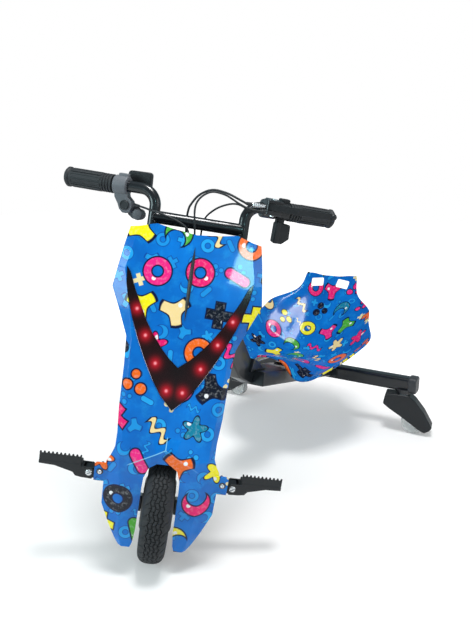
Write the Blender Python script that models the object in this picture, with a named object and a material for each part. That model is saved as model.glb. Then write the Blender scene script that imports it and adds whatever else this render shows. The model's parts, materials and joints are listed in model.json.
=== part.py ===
"""Electric drift kart: a steered, driven front wheel under a moulded fairing, a steel spine with a
bucket seat, and two casters under a cross beam.

Metres, +Z up, the kart's front towards -Y, +X is the rider's left. Every piece is drawn with the kart
standing straight ahead, front axle at y = 0. Empties on the joint axes carry the pieces that move, and
turn them to the pose in which the kart stands: handlebar turned left, casters swung outwards."""

import math

import bmesh
import bpy
from mathutils import Matrix, Quaternion, Vector

# Driving dimensions
WHEELBASE = 0.822            # front axle to rear beam
TYRE_R = 0.1075              # 8.5 x 2 inch tyre
TYRE_W = 0.052
RAKE = math.radians(16.0)    # steering axis, leaning back
STEER_REST = math.radians(34.5)
BAR_R = 0.011                # 22 mm handlebar tube
FACE_TILT = math.radians(20.5)
FACE_TOP = Vector((0.0, 0.090, 0.617))
SHELL = 0.003                # wall of the moulded shells
GAP = 0.0003                 # between pieces that touch
SIDES = 16                   # facets round a turned piece
FEW = 12                     # facets round a pin or screw
BEAM_Z = 0.144               # middle of the rear beam
BEAM_H = 0.040
BEAM_HALF = 0.282            # half length of the rear beam
SPINE_W = 0.090
SPINE_H = 0.036
SPINE_FRONT = Vector((0.0, 0.350, 0.261))
SPINE_BACK = Vector((0.0, 0.8017, 0.152))
CASTER_X = 0.262
CASTER_Y = 0.812
CASTER_TRAIL = 0.034
CASTER_WHEEL_R = 0.035
CASTER_REST = math.radians(81.0)
# The frame's origin is the middle of the footprint, on the ground
CENTRE = Vector((0.0, 0.3795, 0.0))

AXLE = Vector((0.0, 0.0, TYRE_R))
STEER_DIR = Vector((0.0, math.sin(RAKE), math.cos(RAKE)))
# Local frames: x across, y backwards, z up the steering axis or up the fairing's face
AXIS_FRAME = Matrix.Translation(AXLE) @ Matrix.Rotation(-RAKE, 4, "X")
FACE_FRAME = Matrix.Translation(FACE_TOP) @ Matrix.Rotation(-FACE_TILT, 4, "X")

pivots = {}
materials = {}


# Scene, materials and placing

def clear_scene():
    for old in list(bpy.data.objects):
        bpy.data.objects.remove(old, do_unlink=True)


def material(name, colour, roughness, metallic=0.0):
    """One Principled material, made once."""
    if name not in materials:
        made = bpy.data.materials.new(name)
        made.use_nodes = True
        shader = made.node_tree.nodes["Principled BSDF"]
        shader.inputs["Base Color"].default_value = (*colour, 1.0)
        shader.inputs["Roughness"].default_value = roughness
        shader.inputs["Metallic"].default_value = metallic
        made.diffuse_color = (*colour, 1.0)
        materials[name] = made
    return materials[name]


def black_steel():
    return material("black_steel", (0.030, 0.031, 0.034), 0.42, 0.6)


def zinc_steel():
    return material("zinc_steel", (0.62, 0.63, 0.65), 0.32, 1.0)


def black_plastic():
    return material("black_plastic", (0.035, 0.036, 0.038), 0.5)


def black_rubber():
    return material("black_rubber", (0.028, 0.028, 0.030), 0.75)


def printed_shell():
    return material("printed_shell", (0.012, 0.150, 0.740), 0.18)


def pivot(name, origin, parent=None, axis=(0, 0, 1), angle=0.0):
    """An empty on a joint axis; origin is given with the kart straight ahead."""
    empty = bpy.data.objects.new(name, None)
    bpy.context.scene.collection.objects.link(empty)
    base = pivots[parent][1] if parent else Vector((0.0, 0.0, 0.0))
    empty.location = Vector(origin) - base
    empty.rotation_mode = "QUATERNION"
    empty.rotation_quaternion = Quaternion(Vector(axis), angle)
    if parent:
        empty.parent = pivots[parent][0]
    else:
        empty.location -= CENTRE
    pivots[name] = (empty, Vector(origin))


def place(obj, finish, on):
    obj.parent = pivots[on][0]
    obj.data.materials.clear()
    obj.data.materials.append(finish)
    return obj


def piece(name, shape, finish, on, smooth=35.0):
    """Turn a bmesh drawn in straight-ahead coordinates into a named object on its pivot."""
    bmesh.ops.translate(shape, verts=shape.verts, vec=-pivots[on][1])
    bmesh.ops.recalc_face_normals(shape, faces=shape.faces)
    mesh = bpy.data.meshes.new(name)
    shape.to_mesh(mesh)
    shape.free()
    mesh.shade_smooth()
    mesh.set_sharp_from_angle(angle=math.radians(smooth))
    obj = bpy.data.objects.new(name, mesh)
    bpy.context.scene.collection.objects.link(obj)
    return place(obj, finish, on)


# Shapes

def prism(outline, low, high, frame=Matrix.Identity(4), across="XZ"):
    """Extrude a closed outline. across names the outline's two axes; low and high lie on the third."""
    order = {"XZ": (0, 2, 1), "YZ": (1, 2, 0), "XY": (0, 1, 2)}[across]
    shape = bmesh.new()
    rings = []
    for level in (low, high):
        ring = []
        for u, v in outline:
            point = [0.0, 0.0, 0.0]
            point[order[0]], point[order[1]], point[order[2]] = u, v, level
            ring.append(shape.verts.new(frame @ Vector(point)))
        rings.append(ring)
    count = len(outline)
    shape.faces.new(rings[0])
    shape.faces.new(list(reversed(rings[1])))
    for i in range(count):
        j = (i + 1) % count
        shape.faces.new((rings[0][i], rings[1][i], rings[1][j], rings[0][j]))
    bmesh.ops.recalc_face_normals(shape, faces=shape.faces)
    return shape


def block(x, y, z, frame=Matrix.Identity(4), bevel=0.0):
    """A box from its three ranges, with its edges cut by bevel."""
    outline = [(x[0], z[0]), (x[1], z[0]), (x[1], z[1]), (x[0], z[1])]
    shape = prism(outline, y[0], y[1], frame)
    if bevel:
        bmesh.ops.bevel(shape, geom=shape.edges[:], offset=bevel, segments=1, affect="EDGES")
    return shape


def turned(profile, frame, sides=SIDES):
    """Revolve a closed profile of (radius, height) round the frame's z axis."""
    shape = bmesh.new()
    rings = []
    for radius, height in profile:
        if radius < 1e-6:
            rings.append([shape.verts.new(frame @ Vector((0.0, 0.0, height)))])
            continue
        ring = []
        for i in range(sides):
            turn = 2 * math.pi * i / sides
            ring.append(shape.verts.new(
                frame @ Vector((radius * math.cos(turn), radius * math.sin(turn), height))))
        rings.append(ring)
    for a, b in zip(rings, rings[1:] + rings[:1]):
        if len(a) == 1 and len(b) == 1:
            continue
        for i in range(sides):
            j = (i + 1) % sides
            corners = [a[i % len(a)], b[i % len(b)], b[j % len(b)], a[j % len(a)]]
            unique = []
            for corner in corners:
                if corner not in unique:
                    unique.append(corner)
            shape.faces.new(unique)
    bmesh.ops.recalc_face_normals(shape, faces=shape.faces)
    return shape


def rod(radius, low, high, frame, sides=SIDES, hole=0.0, edge=0.0):
    """A bar, or with a hole a sleeve, between two heights on the frame's z axis."""
    outer = [(radius - edge, low), (radius, low + edge), (radius, high - edge), (radius - edge, high)]
    if not edge:
        outer = [(radius, low), (radius, high)]
    return turned([(hole, low)] + outer + [(hole, high)], frame, sides)


def aim(origin, direction, up=(0, 0, 1)):
    """A frame at origin whose z axis runs along direction."""
    z = Vector(direction).normalized()
    x = Vector(up).cross(z)
    if x.length < 1e-4:
        x = Vector((1, 0, 0))
    x.normalize()
    y = z.cross(x)
    made = Matrix((x, y, z)).transposed().to_4x4()
    made.translation = Vector(origin)
    return made


def swept(points, radius, sides=FEW):
    """A closed tube along points, its rings turned as little as possible."""
    shape = bmesh.new()
    rings = []
    previous = None
    for k, point in enumerate(points):
        ahead = points[min(k + 1, len(points) - 1)]
        behind = points[max(k - 1, 0)]
        along = (ahead - behind).normalized()
        if previous is None:
            side = along.orthogonal().normalized()
        else:
            side = (previous - along * previous.dot(along)).normalized()
        previous = side
        other = along.cross(side)
        ring = []
        for i in range(sides):
            turn = 2 * math.pi * i / sides
            ring.append(shape.verts.new(
                point + radius * (math.cos(turn) * side + math.sin(turn) * other)))
        rings.append(ring)
    for a, b in zip(rings, rings[1:]):
        for i in range(sides):
            j = (i + 1) % sides
            shape.faces.new((a[i], a[j], b[j], b[i]))
    shape.faces.new(list(reversed(rings[0])))
    shape.faces.new(rings[-1])
    bmesh.ops.recalc_face_normals(shape, faces=shape.faces)
    return shape


def rounded_route(corners, radii, steps=5):
    """Points along a bent tube: straight runs joined by arcs of the given radii."""
    points = [Vector(corners[0])]
    for k in range(1, len(corners) - 1):
        before, corner, after = (Vector(c) for c in corners[k - 1:k + 2])
        u = (before - corner).normalized()
        v = (after - corner).normalized()
        half = u.angle(v) / 2
        reach = radii[k - 1] / math.tan(half)
        centre = corner + (u + v).normalized() * radii[k - 1] / math.sin(half)
        start = corner + u * reach - centre
        end = corner + v * reach - centre
        turn = start.angle(end)
        for i in range(steps + 1):
            t = i / steps
            arc = (start * math.sin((1 - t) * turn) + end * math.sin(t * turn)) / math.sin(turn)
            points.append(centre + arc)
    points.append(Vector(corners[-1]))
    return points


def rounded_outline(corners, radius, steps=3):
    """A closed 2-D outline with its corners rounded; radius is one value or one for each corner."""
    count = len(corners)
    radii = radius if isinstance(radius, (list, tuple)) else [radius] * count
    outline = []
    for k in range(count):
        corner = Vector(corners[k])
        u = (Vector(corners[k - 1]) - corner).normalized()
        v = (Vector(corners[(k + 1) % count]) - corner).normalized()
        if radii[k] <= 0:
            outline.append(tuple(corner))
            continue
        half = u.angle(v) / 2
        reach = radii[k] / math.tan(half)
        start = corner + u * reach
        end = corner + v * reach
        for i in range(steps + 1):
            t = i / steps
            outline.append(tuple(start * (1 - t) ** 2 + corner * 2 * t * (1 - t) + end * t ** 2))
    return outline


def combined(base, tool, operation):
    """Boolean of two bmeshes; both are used up."""
    made = []
    for shape in (base, tool):
        mesh = bpy.data.meshes.new("shape")
        shape.to_mesh(mesh)
        shape.free()
        obj = bpy.data.objects.new("shape", mesh)
        bpy.context.scene.collection.objects.link(obj)
        made.append(obj)
    step = made[0].modifiers.new("step", "BOOLEAN")
    step.operation = operation
    step.object = made[1]
    bpy.context.view_layer.update()
    view = bpy.context.evaluated_depsgraph_get()
    result = bmesh.new()
    result.from_mesh(made[0].evaluated_get(view).to_mesh())
    for obj in made:
        mesh = obj.data
        bpy.data.objects.remove(obj, do_unlink=True)
        bpy.data.meshes.remove(mesh)
    bmesh.ops.dissolve_degenerate(result, dist=1e-6, edges=result.edges)
    return result


def fused(*shapes):
    whole = shapes[0]
    for shape in shapes[1:]:
        whole = combined(whole, shape, "UNION")
    return whole


def cut(whole, *tools):
    for tool in tools:
        whole = combined(whole, tool, "DIFFERENCE")
    return whole


# Frame, rear beam and seat

def spine_frame():
    """Local frame of the spine: y runs back down its slope, z is square to its top."""
    along = (SPINE_BACK - SPINE_FRONT).normalized()
    slope = math.atan2(along.z, along.y)
    return Matrix.Translation(SPINE_FRONT) @ Matrix.Rotation(slope, 4, "X")


HEAD_LOW = 0.226
HEAD_HIGH = 0.330
HEAD_R = 0.0205
BEARING_R = 0.0172


def make_main_frame():
    """Head tube, 30 x 60 mm neck bent down to the spine, and the flat box spine, welded."""
    head = rod(HEAD_R, HEAD_LOW, HEAD_HIGH, AXIS_FRAME, hole=BEARING_R)
    upper = [(0.088, 0.4045), (0.215, 0.4100), (0.283, 0.4000), (0.366, 0.2760)]
    lower = [(0.366, 0.2460), (0.335, 0.2500), (0.292, 0.2750), (0.240, 0.3460), (0.074, 0.3440)]
    side = rounded_outline(upper + lower, [0, 0.02, 0.045, 0, 0, 0, 0.012, 0.035, 0], 4)
    neck = prism(side, -0.015, 0.015, across="YZ")
    neck = cut(neck, rod(BEARING_R + 0.001, HEAD_LOW - 0.02, HEAD_HIGH + 0.02, AXIS_FRAME))
    length = (SPINE_BACK - SPINE_FRONT).length
    half = SPINE_W / 2
    spine = block((-half, half), (0.0, length), (-SPINE_H / 2, SPINE_H / 2), spine_frame(), 0.0025)
    gusset = prism([(0.330, 0.280), (0.366, 0.2775), (0.395, 0.271), (0.366, 0.298), (0.345, 0.310)],
                   -0.022, 0.022, across="YZ")
    foot = block((-0.060, 0.060), (length - 0.004, length), (-0.017, 0.017), spine_frame())
    whole = fused(neck, head, spine, gusset, foot)
    piece("main_frame", whole, black_steel(), "kart")


def beam_outline(half_h, half_d, corner):
    return [(-half_d, -half_h + corner), (-half_d + corner, -half_h), (half_d - corner, -half_h),
            (half_d, -half_h + corner), (half_d, half_h - corner), (half_d - corner, half_h),
            (-half_d + corner, half_h), (-half_d, half_h - corner)]


def make_rear_beam():
    """Square tube with cut corners, a swivel boss under each end."""
    frame = Matrix.Translation((0.0, WHEELBASE, BEAM_Z))
    beam = prism(beam_outline(BEAM_H / 2, 0.019, 0.007), -BEAM_HALF, BEAM_HALF, frame, "YZ")
    for side in (-1, 1):
        swivel = Matrix.Translation((side * CASTER_X, CASTER_Y, BEAM_Z))
        beam = fused(beam, rod(0.0195, -0.026, -0.012, swivel))
        beam = cut(beam, rod(0.0085, -0.05, 0.0, swivel))
    piece("rear_beam", beam, black_steel(), "kart")


def make_end_cap(side, name):
    """Moulded cap over the open end of the beam, with a plug inside."""
    frame = Matrix.Translation((side * BEAM_HALF, WHEELBASE, BEAM_Z))
    flip = Matrix.Scale(side, 4, (1, 0, 0))
    collar = prism(beam_outline(0.0235, 0.0225, 0.009), GAP, 0.008, frame @ flip, "YZ")
    nose = prism(beam_outline(0.0185, 0.0175, 0.007), 0.007, 0.0125, frame @ flip, "YZ")
    piece(name, fused(collar, nose), black_plastic(), "kart")


# Bucket seat: rows run from the front lip over the pan and up the back. Each row: middle (y, z), half
# width of the arch or pan's flat, hollow (x, y, z) and side (x, y, z).
SEAT_ROWS = [
    ((0.456, 0.279), 0.043, (0.063, 0.470, 0.218), (0.128, 0.500, 0.240)),
    ((0.478, 0.277), 0.044, (0.073, 0.505, 0.218), (0.154, 0.538, 0.256)),
    ((0.560, 0.246), 0.048, (0.092, 0.575, 0.216), (0.190, 0.600, 0.286)),
    ((0.650, 0.222), 0.048, (0.092, 0.662, 0.222), (0.205, 0.668, 0.304)),
    ((0.712, 0.223), 0.046, (0.088, 0.716, 0.246), (0.181, 0.716, 0.318)),
    ((0.765, 0.270), 0.048, (0.092, 0.752, 0.296), (0.172, 0.738, 0.342)),
    ((0.815, 0.328), 0.046, (0.088, 0.802, 0.342), (0.168, 0.776, 0.358)),
    ((0.852, 0.378), 0.034, (0.066, 0.846, 0.376), (0.100, 0.838, 0.376)),
    ((0.872, 0.408), 0.029, (0.056, 0.870, 0.404), (0.085, 0.868, 0.402)),
    ((0.884, 0.427), 0.029, (0.056, 0.885, 0.432), (0.082, 0.886, 0.442)),
]
SEAT_T = 0.004
SEAT_BARS_AT = (0.235, 0.315)
BAR_T = 0.004


def seat_grid():
    """Control rows of points, left to right."""
    rows = []
    for middle, flat, hollow, side in SEAT_ROWS:
        half = [Vector((0.0, *middle)), Vector((flat, middle[0] + 0.002, middle[1] - 0.002)),
                Vector(hollow), (Vector(hollow) + Vector(side)) / 2 + Vector((0.010, 0.0, -0.006)),
                Vector(side)]
        rows.append([Vector((-p.x, p.y, p.z)) for p in reversed(half[1:])] + half)
    return rows


def make_seat():
    """Moulded shell with raised sides, an arch over the spine and two hand slots in its crown."""
    shape = bmesh.new()
    rows = [[shape.verts.new(p) for p in row] for row in seat_grid()]
    for a, b in zip(rows, rows[1:]):
        for i in range(len(a) - 1):
            shape.faces.new((a[i], a[i + 1], b[i + 1], b[i]))
    seat = piece("seat", shape, printed_shell(), "kart", 50.0)
    smooth = seat.modifiers.new("smooth", "SUBSURF")
    smooth.levels = smooth.render_levels = 1
    wall = seat.modifiers.new("wall", "SOLIDIFY")
    wall.thickness = SEAT_T
    wall.offset = 1.0
    for side in (-1, 1):
        corners = [(0.016, 0.398), (0.058, 0.394), (0.061, 0.416), (0.020, 0.420)]
        slot = rounded_outline([(side * x, z) for x, z in corners], 0.005, 2)
        tool = piece(f"hand_slot_{side}", prism(slot, 0.80, 0.95), printed_shell(), "kart")
        tool.hide_render = True
        tool.display_type = "WIRE"
        step = seat.modifiers.new("slot", "BOOLEAN")
        step.operation = "DIFFERENCE"
        step.object = tool


# Casters

def make_caster(side, word):
    """Swivel fork under the beam, its moulded cover, the wheel and its axle. The caster trails
    straight back here; its pivot turns it."""
    swivel = Matrix.Translation((side * CASTER_X, CASTER_Y, 0.0))
    on = f"caster_{word}_swivel"
    wheel_on = f"caster_{word}_axle_line"
    boss_low = BEAM_Z - 0.026
    stem = rod(0.0080, 0.100, boss_low + 0.020, swivel)
    race = rod(0.0170, 0.1090, boss_low - GAP, swivel)
    crown = block((-0.0165, 0.0165), (-0.017, 0.018), (0.1055, 0.1100), swivel)
    trail = CASTER_TRAIL
    cheek = [(-0.015, 0.109), (-0.015, 0.092), (trail - 0.010, CASTER_WHEEL_R - 0.006),
             (trail, CASTER_WHEEL_R - 0.010), (trail + 0.010, CASTER_WHEEL_R - 0.004),
             (trail + 0.009, CASTER_WHEEL_R + 0.012), (0.022, 0.092), (0.017, 0.109)]
    left = prism(cheek, -0.0165, -0.0140, swivel, "YZ")
    right = prism(cheek, 0.0140, 0.0165, swivel, "YZ")
    fork = fused(crown, left, right, race, stem)
    hub_frame = swivel @ Matrix.Translation((0, trail, CASTER_WHEEL_R)) @ Matrix.Rotation(math.pi / 2, 4, "Y")
    fork = cut(fork, rod(0.0043, -0.03, 0.03, hub_frame, FEW))
    piece(f"caster_fork_{word}", fork, zinc_steel(), on)

    # The cover is a teardrop hood: outline seen from the side, hollow below
    hood = [(-0.0545, 0.093), (-0.0490, 0.1170), (-0.0220, 0.1175), (0.0180, 0.1165), (0.0360, 0.102),
            (0.0615, 0.071), (0.0860, 0.029), (0.0800, 0.019), (0.0660, 0.010), (0.0510, 0.016),
            (0.0030, 0.048), (-0.0370, 0.072)]
    cover = prism(rounded_outline(hood, 0.005, 2), -0.0225, 0.0225, swivel, "YZ")
    inner = [(-0.0600, 0.045), (-0.0515, 0.092), (-0.0465, 0.1135), (0.0160, 0.1130), (0.0335, 0.100),
             (0.0590, 0.069), (0.0825, 0.029), (0.0760, -0.010), (0.0300, -0.010)]
    cover = cut(cover, prism(inner, -0.0198, 0.0198, swivel, "YZ"))
    cover = cut(cover, rod(0.0176, 0.09, 0.13, swivel))
    piece(f"caster_cover_{word}", cover, black_plastic(), on)

    wheel = turned([(0.0105, -0.0120), (0.0280, -0.0120), (0.0325, -0.0105), (0.0345, -0.0065),
                    (CASTER_WHEEL_R, 0.0), (0.0345, 0.0065), (0.0325, 0.0105), (0.0280, 0.0120),
                    (0.0105, 0.0120)], hub_frame, 20)
    piece(f"caster_wheel_{word}", wheel, material("clear_urethane", (0.80, 0.84, 0.86), 0.25), wheel_on)
    hub = turned([(0.0043, -0.0130), (0.0102, -0.0130), (0.0102, 0.0130), (0.0043, 0.0130)], hub_frame)
    piece(f"caster_hub_{word}", hub, black_plastic(), wheel_on)
    axle = fused(rod(0.0040, -0.0185, 0.0185, hub_frame, FEW),
                 rod(0.0065, -0.0192, -0.0168, hub_frame, 6), rod(0.0065, 0.0168, 0.0192, hub_frame, 6))
    piece(f"caster_axle_{word}", axle, zinc_steel(), on)


# Front wheel and fork

CROWN_LOW = 0.200
CROWN_HIGH = 0.2102
LEG_IN = 0.046
LEG_OUT = 0.060
BOSS_IN = 0.0309             # inner face of the axle blocks
STEERER_R = 0.014
CROWN_HALF = 0.0850
STEERER_TOP = 0.432


def across(frame, x=0.0):
    """Frame whose z axis lies across the kart."""
    return frame @ Matrix.Translation((x, 0, 0)) @ Matrix.Rotation(math.pi / 2, 4, "Y")


def make_fork():
    """Two flat legs with axle blocks inside their ends, a wide crown and the steerer tube."""
    steerer = rod(STEERER_R, CROWN_LOW + 0.004, STEERER_TOP, AXIS_FRAME, edge=0.0015)
    half = [(CROWN_HALF - 0.002, 0.170), (CROWN_HALF, 0.170), (CROWN_HALF, CROWN_HIGH)]
    inside = [(CROWN_HALF - 0.002, CROWN_LOW)]
    outline = half + [(-x, h) for x, h in reversed(half)]
    outline += [(-x, h) for x, h in inside] + inside
    crown = prism(outline, -0.020, 0.020, AXIS_FRAME)
    shapes = [crown, steerer]
    for side in (-1, 1):
        leg = [(-0.015, CROWN_HIGH - 0.004), (-0.015, 0.0), (-0.012, -0.012), (0.0, -0.017),
               (0.012, -0.012), (0.015, 0.0), (0.015, CROWN_HIGH - 0.004)]
        low, high = sorted((side * LEG_IN, side * LEG_OUT))
        shapes.append(prism(leg, low, high, AXIS_FRAME, "YZ"))
        inner, outer = sorted((side * BOSS_IN, side * (LEG_IN + 0.001)))
        shapes.append(block((inner, outer), (-0.0120, 0.0120), (-0.0145, 0.0145), AXIS_FRAME, 0.0015))
    fork = fused(*shapes)
    fork = cut(fork, rod(0.0063, -0.08, 0.08, across(AXIS_FRAME)))
    piece("front_fork", fork, black_steel(), "steering")


def make_front_axle():
    """Fixed axle of the hub motor with a shoulder against each axle block."""
    shoulder = BOSS_IN - GAP
    profile = [(0.0, -0.074), (0.006, -0.074), (0.006, -shoulder), (0.008, -shoulder), (0.008, shoulder),
               (0.006, shoulder), (0.006, 0.074), (0.0, 0.074)]
    piece("front_axle", turned(profile, across(AXIS_FRAME)), zinc_steel(), "steering")
    for side, word in ((-1, "right"), (1, "left")):
        low, high = sorted((side * (LEG_OUT + GAP), side * (LEG_OUT + 0.0085)))
        nut = cut(rod(0.0105, low, high, across(AXIS_FRAME), 6), rod(0.0063, -0.08, 0.08, across(AXIS_FRAME)))
        piece(f"axle_nut_{word}", nut, zinc_steel(), "steering")


def make_front_wheel():
    """Hub motor with its rim, and the pneumatic tyre."""
    level = across(Matrix.Translation(AXLE))
    half = [(0.0083, 0.0300), (0.0460, 0.0300), (0.0540, 0.0250), (0.0600, 0.0190), (0.0640, 0.0215),
            (0.0720, 0.0250), (0.0722, 0.0232), (0.0669, 0.0190)]
    profile = half + [(r, -x) for r, x in reversed(half)]
    piece("hub_motor", turned(profile, level, 28), material("motor_grey", (0.09, 0.09, 0.10), 0.45, 0.7),
          "front_axle_line")
    bead = [(0.0672, 0.0185), (0.0740, 0.0238), (0.0880, TYRE_W / 2), (0.0985, 0.0240), (0.1040, 0.0180),
            (0.1068, 0.0085)]
    profile = bead + [(TYRE_R, 0.0)] + [(r, -x) for r, x in reversed(bead)]
    piece("front_tyre", turned(profile, level, 40), black_rubber(), "front_axle_line")


def make_headset():
    for name, low, high in (("lower_bearing", CROWN_HIGH + GAP, HEAD_LOW - GAP),
                            ("upper_bearing", HEAD_HIGH + GAP, HEAD_HIGH + 0.0075)):
        ring = rod(0.0225, low, high, AXIS_FRAME, hole=STEERER_R + GAP, edge=0.002)
        piece(name, ring, zinc_steel(), "steering")
    nut = cut(rod(0.0215, HEAD_HIGH + 0.0078, HEAD_HIGH + 0.018, AXIS_FRAME, 6),
              rod(STEERER_R + GAP, 0.3, 0.4, AXIS_FRAME))
    piece("headset_nut", nut, black_steel(), "steering")


# Foot pegs

PEG_PIN = Vector((0.136, 0.002, 0.1645))


def peg_teeth():
    """The peg's upright front lip seen from the front, x and z from its hinge, toothed on top."""
    top = []
    teeth = 11
    start, end, crest, root = 0.0155, 0.0925, 0.0320, 0.0280
    pitch = (end - start) / teeth
    for k in range(teeth):
        x = start + k * pitch
        top += [(x, root), (x + 0.25 * pitch, crest), (x + 0.65 * pitch, crest), (x + 0.9 * pitch, root)]
    return top + [(end, root), (end, 0.0110), (start, 0.0110)]


PEG_DECK = [(0.0155, 0.0150), (0.0930, 0.0150), (0.0930, 0.0075), (0.0640, 0.0060), (0.0300, -0.0035),
            (0.0250, -0.0105), (0.0130, -0.0125), (-0.0060, -0.0135), (-0.0085, -0.0085), (-0.0085, 0.0050),
            (-0.0050, 0.0095), (0.0145, 0.0095)]


def make_peg(side, word):
    """Folding peg, hollow below and forked at its root, hinged on a screw through its bracket."""
    flip = Matrix.Translation((side * PEG_PIN.x, PEG_PIN.y, PEG_PIN.z)) @ Matrix.Scale(side, 4, (1, 0, 0))
    pin_line = Matrix.Translation((side * PEG_PIN.x, PEG_PIN.y, PEG_PIN.z)) @ Matrix.Rotation(math.pi / 2, 4, "X")
    peg = cut(fused(prism(PEG_DECK, -0.0120, 0.0120, flip), prism(peg_teeth(), -0.0115, -0.0075, flip)),
              block((-0.020, 0.0115), (-0.0088, 0.0088), (-0.030, 0.030), flip),
              block((0.034, 0.060), (-0.0080, 0.0080), (-0.020, 0.0105), flip),
              block((0.064, 0.089), (-0.0080, 0.0080), (-0.020, 0.0105), flip),
              rod(0.0043, -0.04, 0.04, pin_line, FEW))
    piece(f"foot_peg_{word}", peg, black_plastic(), f"peg_{word}_hinge")

    # Flat arm from the fork leg to the hinge, and an upright plate forward to the fairing's ear
    arm = [(-0.0757, 0.004), (-0.0757, 0.032), (-0.050, 0.032), (-0.010, 0.010), (-0.010, -0.012),
           (-0.045, -0.012)]
    plate = [(-0.0402, 0.012), (-0.0402, 0.040), (-0.0340, 0.040), (0.0095, 0.006), (0.0095, -0.013),
             (-0.0080, -0.013)]
    knuckle = rounded_outline([(-0.020, -0.0130), (0.0085, -0.0130), (0.0085, 0.0085),
                               (-0.020, 0.0085)], [0, 0.0055, 0.0055, 0.003], 2)
    rib = [(-0.0735, 0.026), (-0.0735, -0.012), (-0.022, -0.012), (-0.022, 0.004)]
    bracket = fused(prism(arm, -0.0150, -0.0110, flip, "XY"), prism(knuckle, -0.0085, 0.0085, flip),
                    block((-0.0757, -0.0717), (0.005, 0.031), (-0.0145, 0.028), flip),
                    prism(plate, -0.0285, -0.0250, flip, "YZ"),
                    block((-0.0260, -0.0170), (-0.0402, -0.0367), (0.012, 0.040), flip),
                    prism(rib, 0.0065, 0.0095, flip))
    bracket = cut(bracket, rod(0.0043, -0.04, 0.04, pin_line, FEW))
    piece(f"peg_bracket_{word}", bracket, black_steel(), "steering")
    screw = fused(rod(0.0040, -0.0165, 0.0130, pin_line, FEW), rod(0.0070, 0.0123, 0.0150, pin_line),
                  rod(0.0068, -0.0160, -0.0123, pin_line, 6))
    piece(f"peg_screw_{word}", screw, zinc_steel(), "steering")


# Fairing. Rows from the top down: height, inner column, middle column, crease, edge (half widths),
# how far the edge lies behind the face, and how far back the side wall reaches.
FAIRING_ROWS = [
    (0.620, 0.045, 0.075, 0.106, 0.123, 0.008, 0.188),
    (0.585, 0.045, 0.078, 0.112, 0.129, 0.010, 0.184),
    (0.545, 0.045, 0.080, 0.120, 0.135, 0.012, 0.176),
    (0.508, 0.044, 0.076, 0.110, 0.140, 0.016, 0.167),
    (0.470, 0.042, 0.070, 0.100, 0.121, 0.014, 0.157),
    (0.428, 0.040, 0.066, 0.090, 0.101, 0.010, 0.140),
    (0.380, 0.038, 0.062, 0.087, 0.097, 0.009, 0.105),
    (0.310, 0.034, 0.056, 0.083, 0.0945, 0.009, 0.085),
    (0.266, 0.026, 0.052, 0.080, 0.0905, 0.009, 0.020),
    (0.242, 0.016, 0.048, 0.079, 0.0905, 0.010, -0.015),
    (0.2245, 0.012, 0.046, 0.079, 0.0965, 0.011, -0.030),
    (0.2140, 0.027, 0.048, 0.079, 0.1025, 0.012, -0.034),
    (0.1950, 0.0352, 0.052, 0.076, 0.1048, 0.013, -0.036),
    (0.1750, 0.0370, 0.053, 0.072, 0.1040, 0.013, -0.038),
    (0.1300, 0.0362, 0.052, 0.069, 0.1025, 0.013, -0.042),
    (0.0935, 0.0352, 0.050, 0.066, 0.0856, 0.011, -0.046),
    (0.0685, 0.0370, 0.047, 0.060, 0.0715, 0.009, -0.050),
    (0.0580, 0.0405, 0.047, 0.056, 0.0635, 0.007, -0.052),
]
TOP_EDGE = (0.620, 0.625, 0.630, 0.621, 0.617)   # the top edge rises a little to each side
WALL_TOP = 0.594             # the side walls slope down to the back, clear of the throttle lever
BROW_Z = 0.242
ARCH_Z = 0.2245
LEG_TILT = math.radians(6.0)


def face_y(z):
    """Front face: one plane down to the brow over the wheel, then steeper down the legs."""
    if z >= BROW_Z:
        return FACE_TOP.y + (z - FACE_TOP.z) * math.tan(FACE_TILT)
    return face_y(BROW_Z) + (z - BROW_Z) * math.tan(LEG_TILT)


def fairing_points():
    rows = []
    for k, (z, inner, middle, crease, edge, step, back) in enumerate(FAIRING_ROWS):
        heights = TOP_EDGE if k == 0 else (z,) * 5
        points = [Vector((x, face_y(h), h)) for x, h in zip((0.0, inner, middle, crease), heights)]
        rim = Vector((edge, face_y(heights[4]) + step, heights[4]))
        wall = Vector((edge - 0.002, max(back, rim.y + 0.006), z if k else WALL_TOP))
        rows.append(points + [rim, wall])
    return rows


def lamp_outline(grow=0.0):
    """The V of the lamp on the fairing's face, (x, up the face) from the face's top point."""
    scale = 1 / math.cos(FACE_TILT)
    outer = [(0.0, 0.314), (0.062, 0.417), (0.094, 0.485), (0.1165, 0.550)]
    inner = [(0.1120, 0.547), (0.075, 0.458), (0.040, 0.416), (0.0, 0.389)]
    right = [(x, (z - FACE_TOP.z) * scale) for x, z in outer + inner]
    ring = right[:-1] + [right[-1]] + [(-x, s) for x, s in reversed(right[1:-1])]
    if not grow:
        return ring
    grown = []
    count = len(ring)
    area = sum(ring[i][0] * ring[(i + 1) % count][1] - ring[(i + 1) % count][0] * ring[i][1]
               for i in range(count))
    turn = 1 if area > 0 else -1
    for i in range(count):
        before, here, after = Vector(ring[i - 1]), Vector(ring[i]), Vector(ring[(i + 1) % count])
        a = (here - before).normalized()
        b = (after - here).normalized()
        normal_a = Vector((a.y, -a.x)) * turn
        normal_b = Vector((b.y, -b.x)) * turn
        middle = (normal_a + normal_b).normalized()
        grown.append(tuple(here + middle * grow / max(0.35, middle.dot(normal_a))))
    return grown


TRIM = [(0.0, -0.020), (0.0045, -0.048), (0.0060, -0.085), (0.0045, -0.125), (0.0, -0.158),
        (-0.0045, -0.125), (-0.0060, -0.085), (-0.0045, -0.048)]


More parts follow.
